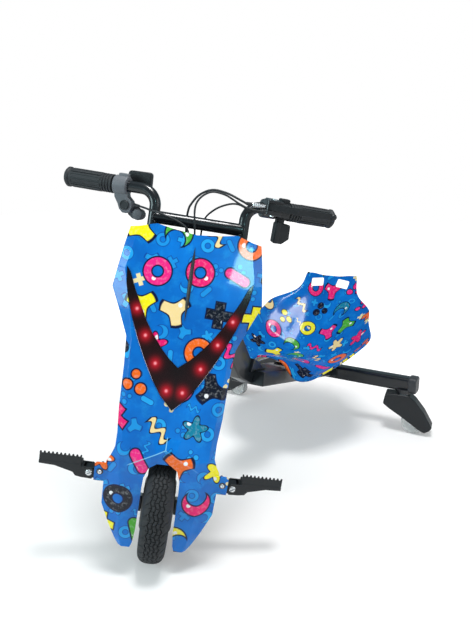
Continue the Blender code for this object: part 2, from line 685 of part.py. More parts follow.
def make_fairing():
    """Faceted shell over the fork, split into two legs round the wheel."""
    shape = bmesh.new()
    sides = []
    for mirror in (1, -1):
        sides.append([[shape.verts.new((p.x * mirror, p.y, p.z)) for p in row]
                      for row in fairing_points()])
    brow = next(k for k, row in enumerate(FAIRING_ROWS) if row[0] < ARCH_Z + 0.0001)
    for columns, mirror in zip(sides, (1, -1)):
        for k, (a, b) in enumerate(zip(columns, columns[1:])):
            for i in range(len(a) - 1):
                if k >= brow and i == 0:
                    continue
                corners = (a[i], b[i], b[i + 1], a[i + 1])
                shape.faces.new(corners if mirror > 0 else tuple(reversed(corners)))
    bmesh.ops.remove_doubles(shape, verts=shape.verts, dist=1e-5)
    loose = [v for v in shape.verts if not v.link_faces]
    bmesh.ops.delete(shape, geom=loose, context="VERTS")
    bmesh.ops.recalc_face_normals(shape, faces=shape.faces)
    front = [f for f in shape.faces if abs(f.normal.y) > 0.5]
    if sum(f.normal.y for f in front) > 0:
        bmesh.ops.reverse_faces(shape, faces=shape.faces)
    bmesh.ops.solidify(shape, geom=shape.faces[:], thickness=SHELL)
    ear_y = face_y(0.192) + 0.0095
    for side in (-1, 1):
        ear = rounded_outline([(side * 0.0965, 0.1735), (side * 0.1215, 0.1735), (side * 0.1215, 0.2095),
                               (side * 0.0965, 0.2095)], [0, 0.002, 0.005, 0], 2)
        shape = fused(shape, prism(ear, ear_y, ear_y + SHELL))
    shape = cut(shape, prism(lamp_outline(0.0004), -0.012, 0.012, FACE_FRAME),
                prism([(x * 1.05, s) for x, s in scaled_trim(0.0004)], -0.012, 0.012, FACE_FRAME))
    piece("front_fairing", shape, printed_shell(), "steering", 20.0)


def scaled_trim(grow):
    return [(x + math.copysign(grow, x) if x else 0.0, s + (grow if s > -0.085 else -grow) * 2)
            for x, s in TRIM]


def make_lamp():
    """Smoked lens set in the face, and behind it the lamp board with eight domes."""
    lens = prism(lamp_outline(), -0.0018, 0.0012, FACE_FRAME)
    piece("lamp_lens", lens, material("smoked_lens", (0.030, 0.008, 0.010), 0.12), "steering")
    board = prism(lamp_outline(), 0.0032, 0.0055, FACE_FRAME)
    scale = 1 / math.cos(FACE_TILT)
    for x, z in ((0.0885, 0.4820), (0.0660, 0.4340), (0.0390, 0.3865), (0.0130, 0.3430)):
        for side in (-1, 1):
            spot = FACE_FRAME @ Matrix.Translation((side * x, 0.0, (z - FACE_TOP.z) * scale))
            spot = spot @ Matrix.Rotation(math.pi / 2, 4, "X")
            board = fused(board, rod(0.0026, -0.0035, -0.0015, spot, 8))
    piece("lamp_board", board, material("lamp_red", (0.60, 0.02, 0.03), 0.3), "steering")
    trim = prism(TRIM, -0.0015, SHELL + 0.002, FACE_FRAME)
    piece("centre_trim", trim, black_plastic(), "steering")


def make_rear_cover():
    """Black cover that closes the fairing behind the battery, above the head tube."""
    shape = bmesh.new()
    levels = [(min(row[0], WALL_TOP - 0.002), row[4], row[6]) for row in FAIRING_ROWS if row[0] > 0.42]
    rows = []
    for z, edge, back in levels:
        half = edge - 0.002 - SHELL - 0.0005
        rows.append([shape.verts.new(p) for p in (
            (-half, back - 0.014, z), (-half + 0.001, back - 0.002, z), (-0.055, back + 0.004, z),
            (0.055, back + 0.004, z), (half - 0.001, back - 0.002, z), (half, back - 0.014, z))])
    for a, b in zip(rows, rows[1:]):
        for i in range(len(a) - 1):
            shape.faces.new((a[i], a[i + 1], b[i + 1], b[i]))
    bmesh.ops.recalc_face_normals(shape, faces=shape.faces)
    if sum(f.normal.y for f in shape.faces) < 0:
        bmesh.ops.reverse_faces(shape, faces=shape.faces)
    bmesh.ops.solidify(shape, geom=shape.faces[:], thickness=SHELL)
    shape = cut(shape, rod(0.0092, -0.05, 0.05, socket_frame()))
    piece("rear_cover", shape, black_plastic(), "steering", 20.0)


def socket_frame():
    """Charge socket in the middle of the rear cover, its z axis pointing at the rider."""
    return aim(Vector((0.0, 0.1757, 0.5270)), Vector((0.0, 0.972, -0.236)))


def make_charge_socket():
    socket = rod(0.0088, -0.020, 0.0022, socket_frame())
    socket = fused(socket, rod(0.0120, 0.0016, 0.0042, socket_frame()),
                   block((-0.0045, 0.0045), (-0.0175, -0.0095), (0.0019, 0.0034), socket_frame()))
    socket = cut(socket, rod(0.0060, -0.010, 0.010, socket_frame()))
    piece("charge_socket", socket, black_plastic(), "steering")
    cap = rod(0.0118, 0.0046, 0.0066, socket_frame(), edge=0.0008)
    tab = block((-0.004, 0.004), (-0.0165, -0.008), (0.0046, 0.0066), socket_frame())
    piece("charge_cap", fused(cap, tab), black_rubber(), "charge_cap_hinge")


def make_electrics():
    """Motor controller standing on the fork crown, battery pack on top of it."""
    controller = block((-0.042, 0.042), (-0.0455, -0.0240), (CROWN_HIGH + GAP, 0.295), AXIS_FRAME, 0.002)
    piece("motor_controller", controller, material("aluminium", (0.55, 0.56, 0.58), 0.4, 1.0), "steering")
    battery = block((-0.072, 0.072), (-0.0500, -0.0240), (0.2953, 0.452), AXIS_FRAME, 0.002)
    piece("battery_pack", battery, material("battery_blue", (0.05, 0.12, 0.35), 0.5), "steering")


# Handlebar and controls. Each side of the bar has a frame: x outwards along the tube, y backwards, z up.
BAR_LOW_Z = 0.480
BAR_LOW_Y = 0.140
BAR_RISER_X = 0.090
BAR_CORNER = Vector((0.088, 0.172, 0.6815))
BAR_END = Vector((0.2694, 0.2317, 0.6770))
BAR_START = BAR_CORNER.lerp(BAR_END, 0.204)
CROSSBAR_Z = 0.6325
CROSSBAR_R = 0.0125


def bar_frame(side):
    along = (BAR_END - BAR_CORNER).normalized()
    back = Vector((-along.y, along.x, 0.0)).normalized()
    up = along.cross(back)
    made = Matrix((along, back, up)).transposed().to_4x4()
    made.translation = BAR_START
    return Matrix.Scale(side, 4, (1, 0, 0)) @ made


def bar_turn(side, x=0.0):
    """Bar frame with its z axis along the tube."""
    return bar_frame(side) @ Matrix.Translation((x, 0, 0)) @ Matrix.Rotation(math.pi / 2, 4, "Y")


def bar_length():
    return (BAR_END - BAR_START).length


def make_handlebar():
    """One bent tube from grip to grip through a low cross piece, with a crossbar welded in."""
    right = [Vector((0.0, BAR_LOW_Y, BAR_LOW_Z)), Vector((BAR_RISER_X, BAR_LOW_Y, BAR_LOW_Z)),
             BAR_CORNER, BAR_END]
    half = rounded_route(right, (0.030, 0.032), 5)
    whole = [Vector((-p.x, p.y, p.z)) for p in reversed(half[1:])] + half
    tube = swept(whole, BAR_R, FEW)
    share = (CROSSBAR_Z - BAR_LOW_Z) / (BAR_CORNER.z - BAR_LOW_Z)
    y = BAR_LOW_Y + (BAR_CORNER.y - BAR_LOW_Y) * share
    bar = swept([Vector((x, y, CROSSBAR_Z)) for x in (-0.088, 0.088)], CROSSBAR_R, FEW)
    piece("handlebar", fused(tube, bar), black_steel(), "steering")


def make_stem():
    """Clamp that holds the low cross piece of the handlebar behind the steerer."""
    centre = AXIS_FRAME.inverted() @ Vector((0.0, BAR_LOW_Y, BAR_LOW_Z))
    body = block((-0.024, 0.024), (-0.022, centre.y + 0.017), (centre.z - 0.016, centre.z + 0.016),
                 AXIS_FRAME, 0.003)
    body = cut(body, rod(STEERER_R + GAP, 0.3, 0.5, AXIS_FRAME),
               rod(BAR_R + GAP, -0.05, 0.05, across(Matrix.Translation((0, BAR_LOW_Y, BAR_LOW_Z)))))
    piece("stem_clamp", body, black_steel(), "steering")


GRIP_FROM = 0.0535
GRIP_R = 0.0185


def make_grip(side, word):
    """Rubber sleeve with rings near its inner end and a flange round its closed outer end."""
    end = bar_length()
    bore = BAR_R + GAP
    profile = [(bore, GRIP_FROM), (GRIP_R, GRIP_FROM), (GRIP_R, GRIP_FROM + 0.003)]
    for k in range(3):
        x = GRIP_FROM + 0.004 + 0.006 * k
        profile += [(0.0165, x), (0.0165, x + 0.002), (GRIP_R, x + 0.003), (GRIP_R, x + 0.005)]
    profile += [(GRIP_R, end - 0.0050), (0.0208, end - 0.0035), (0.0208, end + 0.0010),
                (0.0165, end + 0.004), (0.0, end + 0.004), (0.0, end + GAP), (bore, end + GAP)]
    piece(f"grip_{word}", turned(profile, bar_turn(side)), black_rubber(), "steering")


THROTTLE_PIVOT = (0.0227, 0.0, -0.0363)
THUMB_PAD = (-0.0054, 0.0, -0.0512)


def forward(frame, point):
    """Frame at a point of a bar frame, its z axis pointing forward."""
    return frame @ Matrix.Translation(point) @ Matrix.Rotation(math.pi / 2, 4, "X")


def make_throttle():
    """Thumb throttle on the rider's right: clamp with a round boss, sprung lever, display box."""
    frame = bar_frame(-1)
    turn = bar_turn(-1)
    ring = rod(0.0190, 0.0215, 0.0500, turn, edge=0.002)
    cap = block((0.0225, 0.0430), (-0.0060, 0.0060), (0.0150, 0.0235), frame, 0.002)
    arm = [(0.0490, -0.0080), (0.0465, -0.0234), (0.0385, -0.0358), (0.0346, -0.0451), (0.0275, -0.0518),
           (0.0189, -0.0523), (0.0109, -0.0480), (0.0075, -0.0380), (0.0100, -0.0280), (0.0190, -0.0200),
           (0.0220, -0.0080)]
    pivot_line = forward(frame, THROTTLE_PIVOT)
    nipple = block((0.0058, 0.0120), (-0.0048, 0.0012), (-0.0373, -0.0313), frame)
    housing = cut(fused(ring, cap, prism(arm, -0.0100, 0.0080, frame), nipple),
                  rod(BAR_R + GAP, 0.0, 0.08, turn), rod(0.0034, -0.02, 0.02, pivot_line, FEW))
    piece("throttle_housing", housing, black_plastic(), "steering")
    button = rod(0.0095, 0.0103, 0.0135, pivot_line, edge=0.001)
    pin = rod(0.0030, -0.0100, 0.0110, pivot_line, FEW)
    arm = rounded_outline([(0.0320, -0.0290), (0.0250, -0.0470), (-0.0080, -0.0600), (-0.0110, -0.0460),
                           (0.0180, -0.0270)], 0.006, 2)
    arm = prism(arm, 0.0083, 0.0120, frame)
    pad = rod(0.0108, -0.0115, 0.0110, forward(frame, THUMB_PAD), edge=0.002)
    piece("throttle_lever", fused(button, pin, arm, pad), black_plastic(), "throttle_pivot")
    display = prism(rounded_outline([(-0.0150, -0.0020), (0.0350, -0.0020), (0.0350, 0.0300),
                                     (-0.0150, 0.0310)], 0.006, 3), 0.0193, 0.0330, frame)
    piece("display_box", display, black_plastic(), "steering")


LEVER_PIVOT = (0.0060, -0.0280, 0.0)
LEVER_LOW = 0.0005
LEVER_HIGH = 0.0140


def make_brake():
    """Brake on the rider's left: perch on the tube, barrel adjuster, lever with a ball end."""
    frame = bar_frame(1)
    turn = bar_turn(1)
    ring = rod(0.0185, -0.0070, 0.0245, turn, edge=0.002)
    body = prism(rounded_outline([(-0.0110, -0.0370), (0.0230, -0.0370), (0.0230, -0.0100), (-0.0110, -0.0100)],
                                 0.005, 2), -0.0090, 0.0205, frame, "XY")
    top = block((0.0010, 0.0230), (-0.0140, 0.0080), (0.0120, 0.0215), frame, 0.0015)
    pin_line = frame @ Matrix.Translation(LEVER_PIVOT)
    barrel_line = frame @ Matrix.Translation((0.0, -0.0250, 0.0050)) @ Matrix.Rotation(math.pi / 2, 4, "Y")
    perch = cut(fused(ring, body, top), rod(BAR_R + GAP, -0.05, 0.08, turn),
                block((-0.0078, 0.0300), (-0.050, -0.0197), (LEVER_LOW - 0.0005, LEVER_HIGH + 0.0005), frame),
                rod(0.0034, -0.03, 0.03, pin_line, FEW), rod(0.0029, -0.03, -0.005, barrel_line, FEW))
    piece("brake_perch", perch, black_steel(), "steering")
    knob = turned([(0.0013, -0.0390), (0.0040, -0.0390), (0.0050, -0.0375), (0.0050, -0.0230),
                   (0.0040, -0.0220), (0.0040, -0.0113), (0.0026, -0.0113), (0.0026, -0.0082),
                   (0.0013, -0.0082)], barrel_line)
    piece("barrel_adjuster", knob, zinc_steel(), "steering")
    blade = [(-0.0065, -0.0340), (-0.0060, -0.0240), (0.0000, -0.0210), (0.0110, -0.0210), (0.0200, -0.0250),
             (0.0320, -0.0340), (0.0500, -0.0395), (0.1285, -0.0420), (0.1305, -0.0490), (0.0500, -0.0490),
             (0.0100, -0.0385)]
    lever = prism(blade, LEVER_LOW, LEVER_HIGH, frame, "XY")
    ball = turned([(0.0, -0.0072), (0.0048, -0.0056), (0.0072, 0.0), (0.0048, 0.0056), (0.0, 0.0072)],
                  frame @ Matrix.Translation((0.1320, -0.0460, 0.0075)))
    lever = cut(fused(lever, ball), rod(0.0034, -0.02, 0.03, pin_line, FEW))
    piece("brake_lever", lever, black_plastic(), "brake_pivot")
    pin = fused(rod(0.0030, -0.0100, 0.0212, pin_line, FEW), rod(0.0052, 0.0208, 0.0232, pin_line, FEW),
                rod(0.0045, -0.0118, -0.0093, pin_line, FEW))
    piece("brake_lever_pin", pin, zinc_steel(), "steering")


ROCKER_AT = (0.0465, 0.0065, -0.0430)


def make_switch_pod():
    """Pod hung from its own clamp ring inboard of the grip, with a rocker that faces the rider."""
    frame = bar_frame(1)
    turn = bar_turn(1)
    ring = rod(0.0180, 0.0258, 0.0525, turn, edge=0.002)
    knob = block((0.0300, 0.0510), (-0.0080, 0.0080), (0.0140, 0.0250), frame, 0.003)
    neck = block((0.0300, 0.0470), (-0.0060, 0.0060), (-0.0300, -0.0125), frame)
    case = prism(rounded_outline([(0.0300, -0.0650), (0.0485, -0.0660), (0.0635, -0.0540),
                                  (0.0610, -0.0250), (0.0290, -0.0230)], 0.003, 2), -0.0090, 0.0090, frame)
    front = block((0.0270, 0.0380), (-0.0150, -0.0070), (-0.0650, -0.0210), frame, 0.002)
    across_rocker = frame @ Matrix.Translation(ROCKER_AT) @ Matrix.Rotation(math.pi / 2, 4, "Y")
    pod = cut(fused(ring, neck, case, front, knob), rod(BAR_R + GAP, 0.0, 0.08, turn),
              block((0.0372, 0.0558), (0.0030, 0.0120), (-0.0570, -0.0290), frame),
              rod(0.0019, -0.0115, 0.0115, across_rocker, FEW))
    piece("switch_pod", pod, black_plastic(), "steering")
    face = [(0.0055, -0.0555), (0.0085, -0.0555), (0.0098, -0.0430), (0.0120, -0.0305), (0.0090, -0.0305),
            (0.0055, -0.0380), (0.0050, -0.0430), (0.0052, -0.0480)]
    rocker = fused(prism(face, 0.0377, 0.0553, frame, "YZ"), rod(0.0016, -0.0108, 0.0108, across_rocker, FEW))
    piece("switch_rocker", rocker, black_plastic(), "rocker_pivot")


# Cables: route points by hand, from the control into the fairing's open top
CABLES = {
    "throttle_cable": (0.0020, [(-0.1299, 0.1837, 0.6462), (-0.1215, 0.1808, 0.6462), (-0.1060, 0.1640, 0.6460),
                                (-0.0940, 0.1480, 0.6454), (-0.0798, 0.1380, 0.6451), (-0.0659, 0.1330, 0.6421),
                                (-0.0460, 0.1310, 0.6370), (-0.0297, 0.1290, 0.6303), (-0.0180, 0.1270, 0.6200),
                                (-0.0140, 0.1260, 0.5950)]),
    "brake_cable": (0.0022, [(0.0953, 0.1481, 0.6865), (0.0864, 0.1452, 0.6870), (0.0740, 0.1450, 0.6912),
                             (0.0510, 0.1520, 0.6987),
                             (0.0311, 0.1580, 0.7018), (0.0177, 0.1610, 0.7013), (0.0049, 0.1650, 0.6960),
                             (-0.0090, 0.1710, 0.6846), (-0.0201, 0.1775, 0.6667), (-0.0241, 0.1810, 0.6539),
                             (-0.0246, 0.1810, 0.6301), (-0.0206, 0.1760, 0.5950)]),
    "signal_wire": (0.0019, [(0.1240, 0.1512, 0.6778), (0.0960, 0.1430, 0.6775), (0.0722, 0.1420, 0.6845),
                             (0.0571, 0.1380, 0.6915), (0.0404, 0.1350, 0.6979), (0.0170, 0.1310, 0.6995),
                             (-0.0004, 0.1290, 0.6892), (-0.0096, 0.1280, 0.6745), (-0.0108, 0.1280, 0.6573),
                             (-0.0068, 0.1280, 0.6312), (-0.0020, 0.1260, 0.5950)]),
    "brake_switch_wire": (0.0019, [(0.1213, 0.1577, 0.6753), (0.0965, 0.1500, 0.6735), (0.0767, 0.1550, 0.6810),
                                   (0.0647, 0.1590, 0.6820), (0.0515, 0.1640, 0.6785), (0.0333, 0.1710, 0.6685),
                                   (0.0195, 0.1780, 0.6555), (0.0113, 0.1803, 0.6439), (0.0079, 0.1803, 0.6274),
                                   (0.0077, 0.1760, 0.5950)]),
}


def smooth_route(points, spacing):
    """Points read every spacing from a Catmull-Rom curve through the route's own points."""
    ends = [2 * points[0] - points[1]] + points + [2 * points[-1] - points[-2]]
    fine = []
    for k in range(len(points) - 1):
        p0, p1, p2, p3 = ends[k:k + 4]
        for i in range(16):
            t = i / 16
            fine.append(0.5 * (2 * p1 + (p2 - p0) * t + (2 * p0 - 5 * p1 + 4 * p2 - p3) * t ** 2
                               + (3 * p1 - 3 * p2 + p3 - p0) * t ** 3))
    fine.append(points[-1])
    total = sum((b - a).length for a, b in zip(fine, fine[1:]))
    count = max(4, round(total / spacing))
    step = total / count
    kept = [fine[0]]
    walked = 0.0
    for a, b in zip(fine, fine[1:]):
        run = (b - a).length
        while walked + run >= step * len(kept) and len(kept) < count:
            kept.append(a.lerp(b, (step * len(kept) - walked) / run))
        walked += run
    return kept + [fine[-1]]


def make_cable(name):
    radius, route = CABLES[name]
    origin = pivots["steering"][1]
    points = smooth_route([Vector(p) for p in route], radius * 6)
    curve = bpy.data.curves.new(name, "CURVE")
    curve.dimensions = "3D"
    curve.bevel_depth = radius
    curve.bevel_resolution = 2
    curve.use_fill_caps = True
    spline = curve.splines.new("POLY")
    spline.points.add(len(points) - 1)
    for target, point in zip(spline.points, points):
        target.co = (*(point - origin), 1.0)
    obj = bpy.data.objects.new(name, curve)
    bpy.context.scene.collection.objects.link(obj)
    place(obj, black_rubber(), "steering")


def make_seat_bars():
    """Two flat steel bars across the spine, under the seat."""
    for along, word in zip(SEAT_BARS_AT, ("front", "rear")):
        low = SPINE_H / 2 + GAP
        bar = block((-0.040, 0.040), (along - 0.013, along + 0.013), (low, low + BAR_T), spine_frame(), 0.001)
        piece(f"seat_bar_{word}", bar, black_steel(), "kart")


def build():
    clear_scene()
    pivot("kart", (0, 0, 0))
    pivot("steering", AXIS_FRAME @ Vector((0, 0, HEAD_LOW)), "kart", STEER_DIR, STEER_REST)
    pivot("front_axle_line", AXLE, "steering")
    for side, word in ((-1, "right"), (1, "left")):
        pivot(f"caster_{word}_swivel", (side * CASTER_X, CASTER_Y, BEAM_Z), "kart", (0, 0, 1), -side * CASTER_REST)
        pivot(f"caster_{word}_axle_line", (side * CASTER_X, CASTER_Y + CASTER_TRAIL, CASTER_WHEEL_R),
              f"caster_{word}_swivel")
        pivot(f"peg_{word}_hinge", (side * PEG_PIN.x, PEG_PIN.y, PEG_PIN.z), "steering")
    pivot("brake_pivot", bar_frame(1) @ Vector(LEVER_PIVOT), "steering")
    pivot("throttle_pivot", bar_frame(-1) @ Vector(THROTTLE_PIVOT), "steering")
    pivot("rocker_pivot", bar_frame(1) @ Vector(ROCKER_AT), "steering")
    pivot("charge_cap_hinge", socket_frame() @ Vector((0.0, -0.0150, 0.0056)), "steering")

    make_main_frame()
    make_rear_beam()
    make_seat()
    make_seat_bars()
    for side, word in ((-1, "right"), (1, "left")):
        make_end_cap(side, f"beam_end_cap_{word}")
        make_caster(side, word)
        make_peg(side, word)
        make_grip(side, word)
    make_fork()
    make_front_axle()
    make_front_wheel()
    make_headset()
    make_fairing()
    make_lamp()
    make_rear_cover()
    make_charge_socket()
    make_electrics()
    make_handlebar()
    make_stem()
    make_throttle()
    make_brake()
    make_switch_pod()
    for name in CABLES:
        make_cable(name)


build()
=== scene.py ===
"""Looks of the electric drift kart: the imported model's visible pieces, rebuilt with their real edges,
treads, ribs and finishes, on a pale floor in soft light.

Metres, +Z up. Pieces are drawn straight ahead, front axle over the origin, front towards -Y, +X the
rider's left, and then put in the pose in which the kart stands."""

import json
from math import atan2, copysign, cos, hypot, pi, radians, sin, sqrt, tan

import bmesh
import bpy
from mathutils import Matrix, Quaternion, Vector

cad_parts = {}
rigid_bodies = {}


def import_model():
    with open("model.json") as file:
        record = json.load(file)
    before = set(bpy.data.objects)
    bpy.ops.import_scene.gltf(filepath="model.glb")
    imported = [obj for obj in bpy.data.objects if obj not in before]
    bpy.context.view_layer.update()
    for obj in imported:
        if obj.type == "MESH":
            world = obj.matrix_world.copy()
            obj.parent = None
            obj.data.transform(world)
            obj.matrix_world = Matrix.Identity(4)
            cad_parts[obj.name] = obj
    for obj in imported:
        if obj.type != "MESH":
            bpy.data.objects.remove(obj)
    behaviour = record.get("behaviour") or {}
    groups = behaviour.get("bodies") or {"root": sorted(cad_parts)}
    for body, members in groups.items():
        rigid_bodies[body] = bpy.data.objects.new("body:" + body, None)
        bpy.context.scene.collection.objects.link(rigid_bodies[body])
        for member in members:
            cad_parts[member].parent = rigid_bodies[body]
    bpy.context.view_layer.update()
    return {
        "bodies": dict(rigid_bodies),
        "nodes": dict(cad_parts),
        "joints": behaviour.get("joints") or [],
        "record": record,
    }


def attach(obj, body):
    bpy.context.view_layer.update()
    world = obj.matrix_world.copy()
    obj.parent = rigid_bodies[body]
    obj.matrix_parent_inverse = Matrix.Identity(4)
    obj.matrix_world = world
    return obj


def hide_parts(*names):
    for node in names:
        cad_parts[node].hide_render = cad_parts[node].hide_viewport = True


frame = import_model()
shift, HOME = Matrix.Translation, Matrix.Identity(4)
scene = bpy.context.scene
scene.view_settings.view_transform = "Standard"


# Studio: a pale floor that runs out to white, a large soft lamp overhead, a weaker one at the rider's
# left, one in front and a small window. The camera stands in front of the kart at its left, just over
# the handlebar.

class Socket:
    """An output worked with as a number: each operation adds a Math node to its tree."""

    def __init__(self, tree, output):
        self.tree, self.output = tree, output

    def maths(self, operation, *others):
        return self.tree.node("ShaderNodeMath", {"operation": operation}, dict(enumerate((self, *others))))

    def __add__(self, other):
        return self.maths("ADD", other)

    def __sub__(self, other):
        return self.maths("SUBTRACT", other)

    def __rsub__(self, other):
        return self.maths("MULTIPLY", -1.0) + other

    def __mul__(self, other):
        return self.maths("MULTIPLY", other)

    def __truediv__(self, other):
        return self.maths("DIVIDE", other)

    def __abs__(self):
        return self.maths("ABSOLUTE")

    __radd__, __rmul__ = __add__, __mul__

    def least(self, other):
        return self.maths("MINIMUM", other)

    def most(self, other):
        return self.maths("MAXIMUM", other)

    def below(self, limit, soft):
        """1 where the value is under the limit, 0 over it, with a soft step between."""
        return (1.0 - (self - limit) / soft).least(1.0).most(0.0)


class Tree:
    """A node tree, filled through one method."""

    def __init__(self, tree):
        self.tree = tree

    def node(self, kind, settings=None, sockets=None, output=0):
        """Add a node: its settings first, then the values or links of its sockets. Gives one output."""
        made = self.tree.nodes.new(kind)
        for key, value in (settings or {}).items():
            if key == "steps":          # a ramp of equal steps, each of one colour
                made.color_ramp.interpolation = "CONSTANT"
                stops = made.color_ramp.elements
                stops.remove(stops[-1])
                stops[0].position = 0.0
                for k in range(1, len(value)):
                    stops.new(k / len(value))
                for stop, colour in zip(stops, value):
                    stop.color = (*colour, 1.0)
            else:
                setattr(made, key, value)
        for key, value in (sockets or {}).items():
            entry = made.inputs[key]
            if isinstance(value, Socket):
                self.tree.links.new(value.output, entry)
            else:
                entry.default_value = value
        if isinstance(output, str):
            output = next(k for k, out in enumerate(made.outputs) if out.name == output and out.enabled)
        return None if output is None else Socket(self, made.outputs[output])

    def blend(self, factor, low, high):
        """Mix two colours."""
        low, high = (c if isinstance(c, Socket) else (*c, 1.0) for c in (low, high))
        return self.node("ShaderNodeMix", {"data_type": "RGBA"}, {0: factor, 6: low, 7: high}, 2)

    def axis(self, vector, k):
        """One number of a vector."""
        return self.node("ShaderNodeSeparateXYZ", None, {0: vector}, k)

    def printed(self):
        """The piece's own print coordinates; on black mouldings z is the strength of the painted sheen."""
        return self.node("ShaderNodeAttribute", {"attribute_name": "print"}, None, "Vector")

    def ray(self, kind):
        """1 for this kind of ray."""
        return self.node("ShaderNodeLightPath", output=f"Is {kind} Ray")

    def noise(self, scale, detail=2.0, roughness=0.5, at=None):
        """Noise over the piece's own coordinates, scale in waves per metre."""
        at = at or self.node("ShaderNodeTexCoord", output="Object")
        return self.node("ShaderNodeTexNoise", None,
                         {"Vector": at, "Scale": scale, "Detail": detail, "Roughness": roughness})

    def bump(self, height, depth, strength):
        return self.node("ShaderNodeBump", None,
                         {"Height": height, "Strength": strength, "Distance": depth}, "Normal")


def finish(name, constants, detail):
    """A material: constant values on the shader's own sockets, and what varies from detail(tree)."""
    material = bpy.data.materials.new(name)
    material.use_nodes = True
    tree = Tree(material.node_tree)
    shader = material.node_tree.nodes["Principled BSDF"]
    for key, value in constants.items():
        shader.inputs[key].default_value = value
    for key, value in detail(tree).items():
        material.node_tree.links.new(value.output, shader.inputs[key])
    return material


def link(name, data):
    made = bpy.data.objects.new(name, data)
    scene.collection.objects.link(made)
    return made


FLOOR_WHITE, FLOOR_HALF = (0.8, 0.8, 0.8, 1.0), 9
FLOOR_GLOW = 0.2             # brings the floor up to white for the camera
OPEN_FROM, OPEN_OVER, OPEN_GLOW = 0.55, 0.9, 0.65        # more of it away from the kart, in metres
WORLD_FILL, HORIZON, CEILING = 0.46, 0.55, 0.17
CEILING_FROM, CEILING_OVER = 0.12, 0.22          # sines of a ray's rise
WHITE, WALL_TINT = (1.0, 1.0, 1.0), (0.66, 0.91, 1.0)
WINDOW_LEAN = radians(-24.0)

floor_mesh = bpy.data.meshes.new("floor")
floor_mesh.from_pydata([(x * FLOOR_HALF, y * FLOOR_HALF, 0) for x, y in ((-1, -1), (1, -1), (1, 1), (-1, 1))],
                       [], [(0, 1, 2, 3)])
floor = link("floor", floor_mesh)


def white_floor(tree):
    """Paper floor, whiter for the camera the further it is from the kart."""
    spot = tree.node("ShaderNodeTexCoord", output="Object")
    far = tree.node("ShaderNodeVectorMath", {"operation": "LENGTH"}, {0: spot}, "Value")
    open_floor = 1.0 - far.below(OPEN_FROM, OPEN_OVER)
    return {"Emission Color": tree.ray("Camera") * (open_floor * OPEN_GLOW + FLOOR_GLOW)}


floor.data.materials.append(finish("pale_floor", {
    "Base Color": FLOOR_WHITE, "Roughness": 1.0, "Specular IOR Level": 0.0, "Emission Strength": 1.0},
    white_floor))

scene.world = scene.world or bpy.data.worlds.new("studio")
scene.world.use_nodes = True
sky = Tree(scene.world.node_tree)
# White all round for the camera and through clear plastic; gloss shows cool walls under a darker ceiling
seen = (sky.ray("Camera") + sky.ray("Transmission")).least(1.0)
height = sky.axis(sky.node("ShaderNodeTexCoord", output="Generated"), 2)
walls = height.below(CEILING_FROM, CEILING_OVER) * (HORIZON - CEILING) + CEILING
glossy = sky.ray("Glossy") * (1.0 - seen)
strength = seen + glossy * walls + (1.0 - seen) * (1.0 - glossy) * WORLD_FILL
backdrop = next(n for n in sky.tree.nodes if n.type == "BACKGROUND")
sky.tree.links.new(sky.blend(glossy, WHITE, WALL_TINT).output, backdrop.inputs["Color"])
sky.tree.links.new(strength.output, backdrop.inputs["Strength"])

for name, place, target, size, power, tint in (
        ("overhead_lamp", (0.42, -0.35, 2.6), (0.0, 0.0, 0.2), (0.65, 0.65), 42.0, WHITE),
        ("left_lamp", (2.2, 0.2, 1.3), (0.0, 0.0, 0.4), (1.2, 1.2), 7.0, WHITE),
        ("front_lamp", (-1.38, -2.22, 1.25), (-0.1, -0.25, 0.55), (0.85, 1.15), 25.0, (0.72, 0.96, 1.0)),
        ("window_lamp", (1.622, -1.798, 1.625), (0.105, -0.248, 0.559), (0.15, 0.25), 2.9,
         (0.45, 0.95, 1.0))):
    lamp = link(name, bpy.data.lights.new(name, "AREA"))
    lamp.data.shape = "RECTANGLE"
    lamp.data.size, lamp.data.size_y = size
    lamp.data.energy, lamp.data.color = power, tint
    lamp.location = place
    lamp.rotation_mode = "QUATERNION"
    lamp.rotation_quaternion = ((Vector(target) - Vector(place)).to_track_quat("-Z", "Y")
                                @ Quaternion((0.0, 0.0, 1.0), WINDOW_LEAN if name == "window_lamp" else 0.0))

CAMERA_AT = Vector((0.6278, -1.1558, 0.7187))
YAW, PITCH, ROLL, VIEW_HEIGHT = (radians(a) for a in (-30.3, 13.42, 0.25, 57.87))

camera = link("camera", bpy.data.cameras.new("camera"))
ahead = Vector((sin(YAW) * cos(PITCH), cos(YAW) * cos(PITCH), -sin(PITCH)))
level = Vector((cos(YAW), -sin(YAW), 0.0))
rise = level.cross(ahead)
camera.matrix_world = shift(CAMERA_AT) @ Matrix((
    level * cos(ROLL) + rise * sin(ROLL), rise * cos(ROLL) - level * sin(ROLL), -ahead)).transposed().to_4x4()
camera.data.sensor_width = 36.0
camera.data.lens = camera.data.sensor_width / 2 / tan(VIEW_HEIGHT / 2)
camera.data.clip_start = 0.01
scene.camera = camera


# Main frame: a head tube, a 30 x 60 mm neck bent down from it and a flat 90 x 36 mm box spine, steel,
# welded and powder-coated satin black. Everything else is bolted to it.

def framed(base, point=(0.0, 0.0, 0.0), axis="Y", angle=pi / 2):
    """A frame moved to a point of its base and turned on one of its axes; with only the base given, its
    z axis lies along the base's x axis."""
    return base @ shift(point) @ Matrix.Rotation(angle, 4, axis)


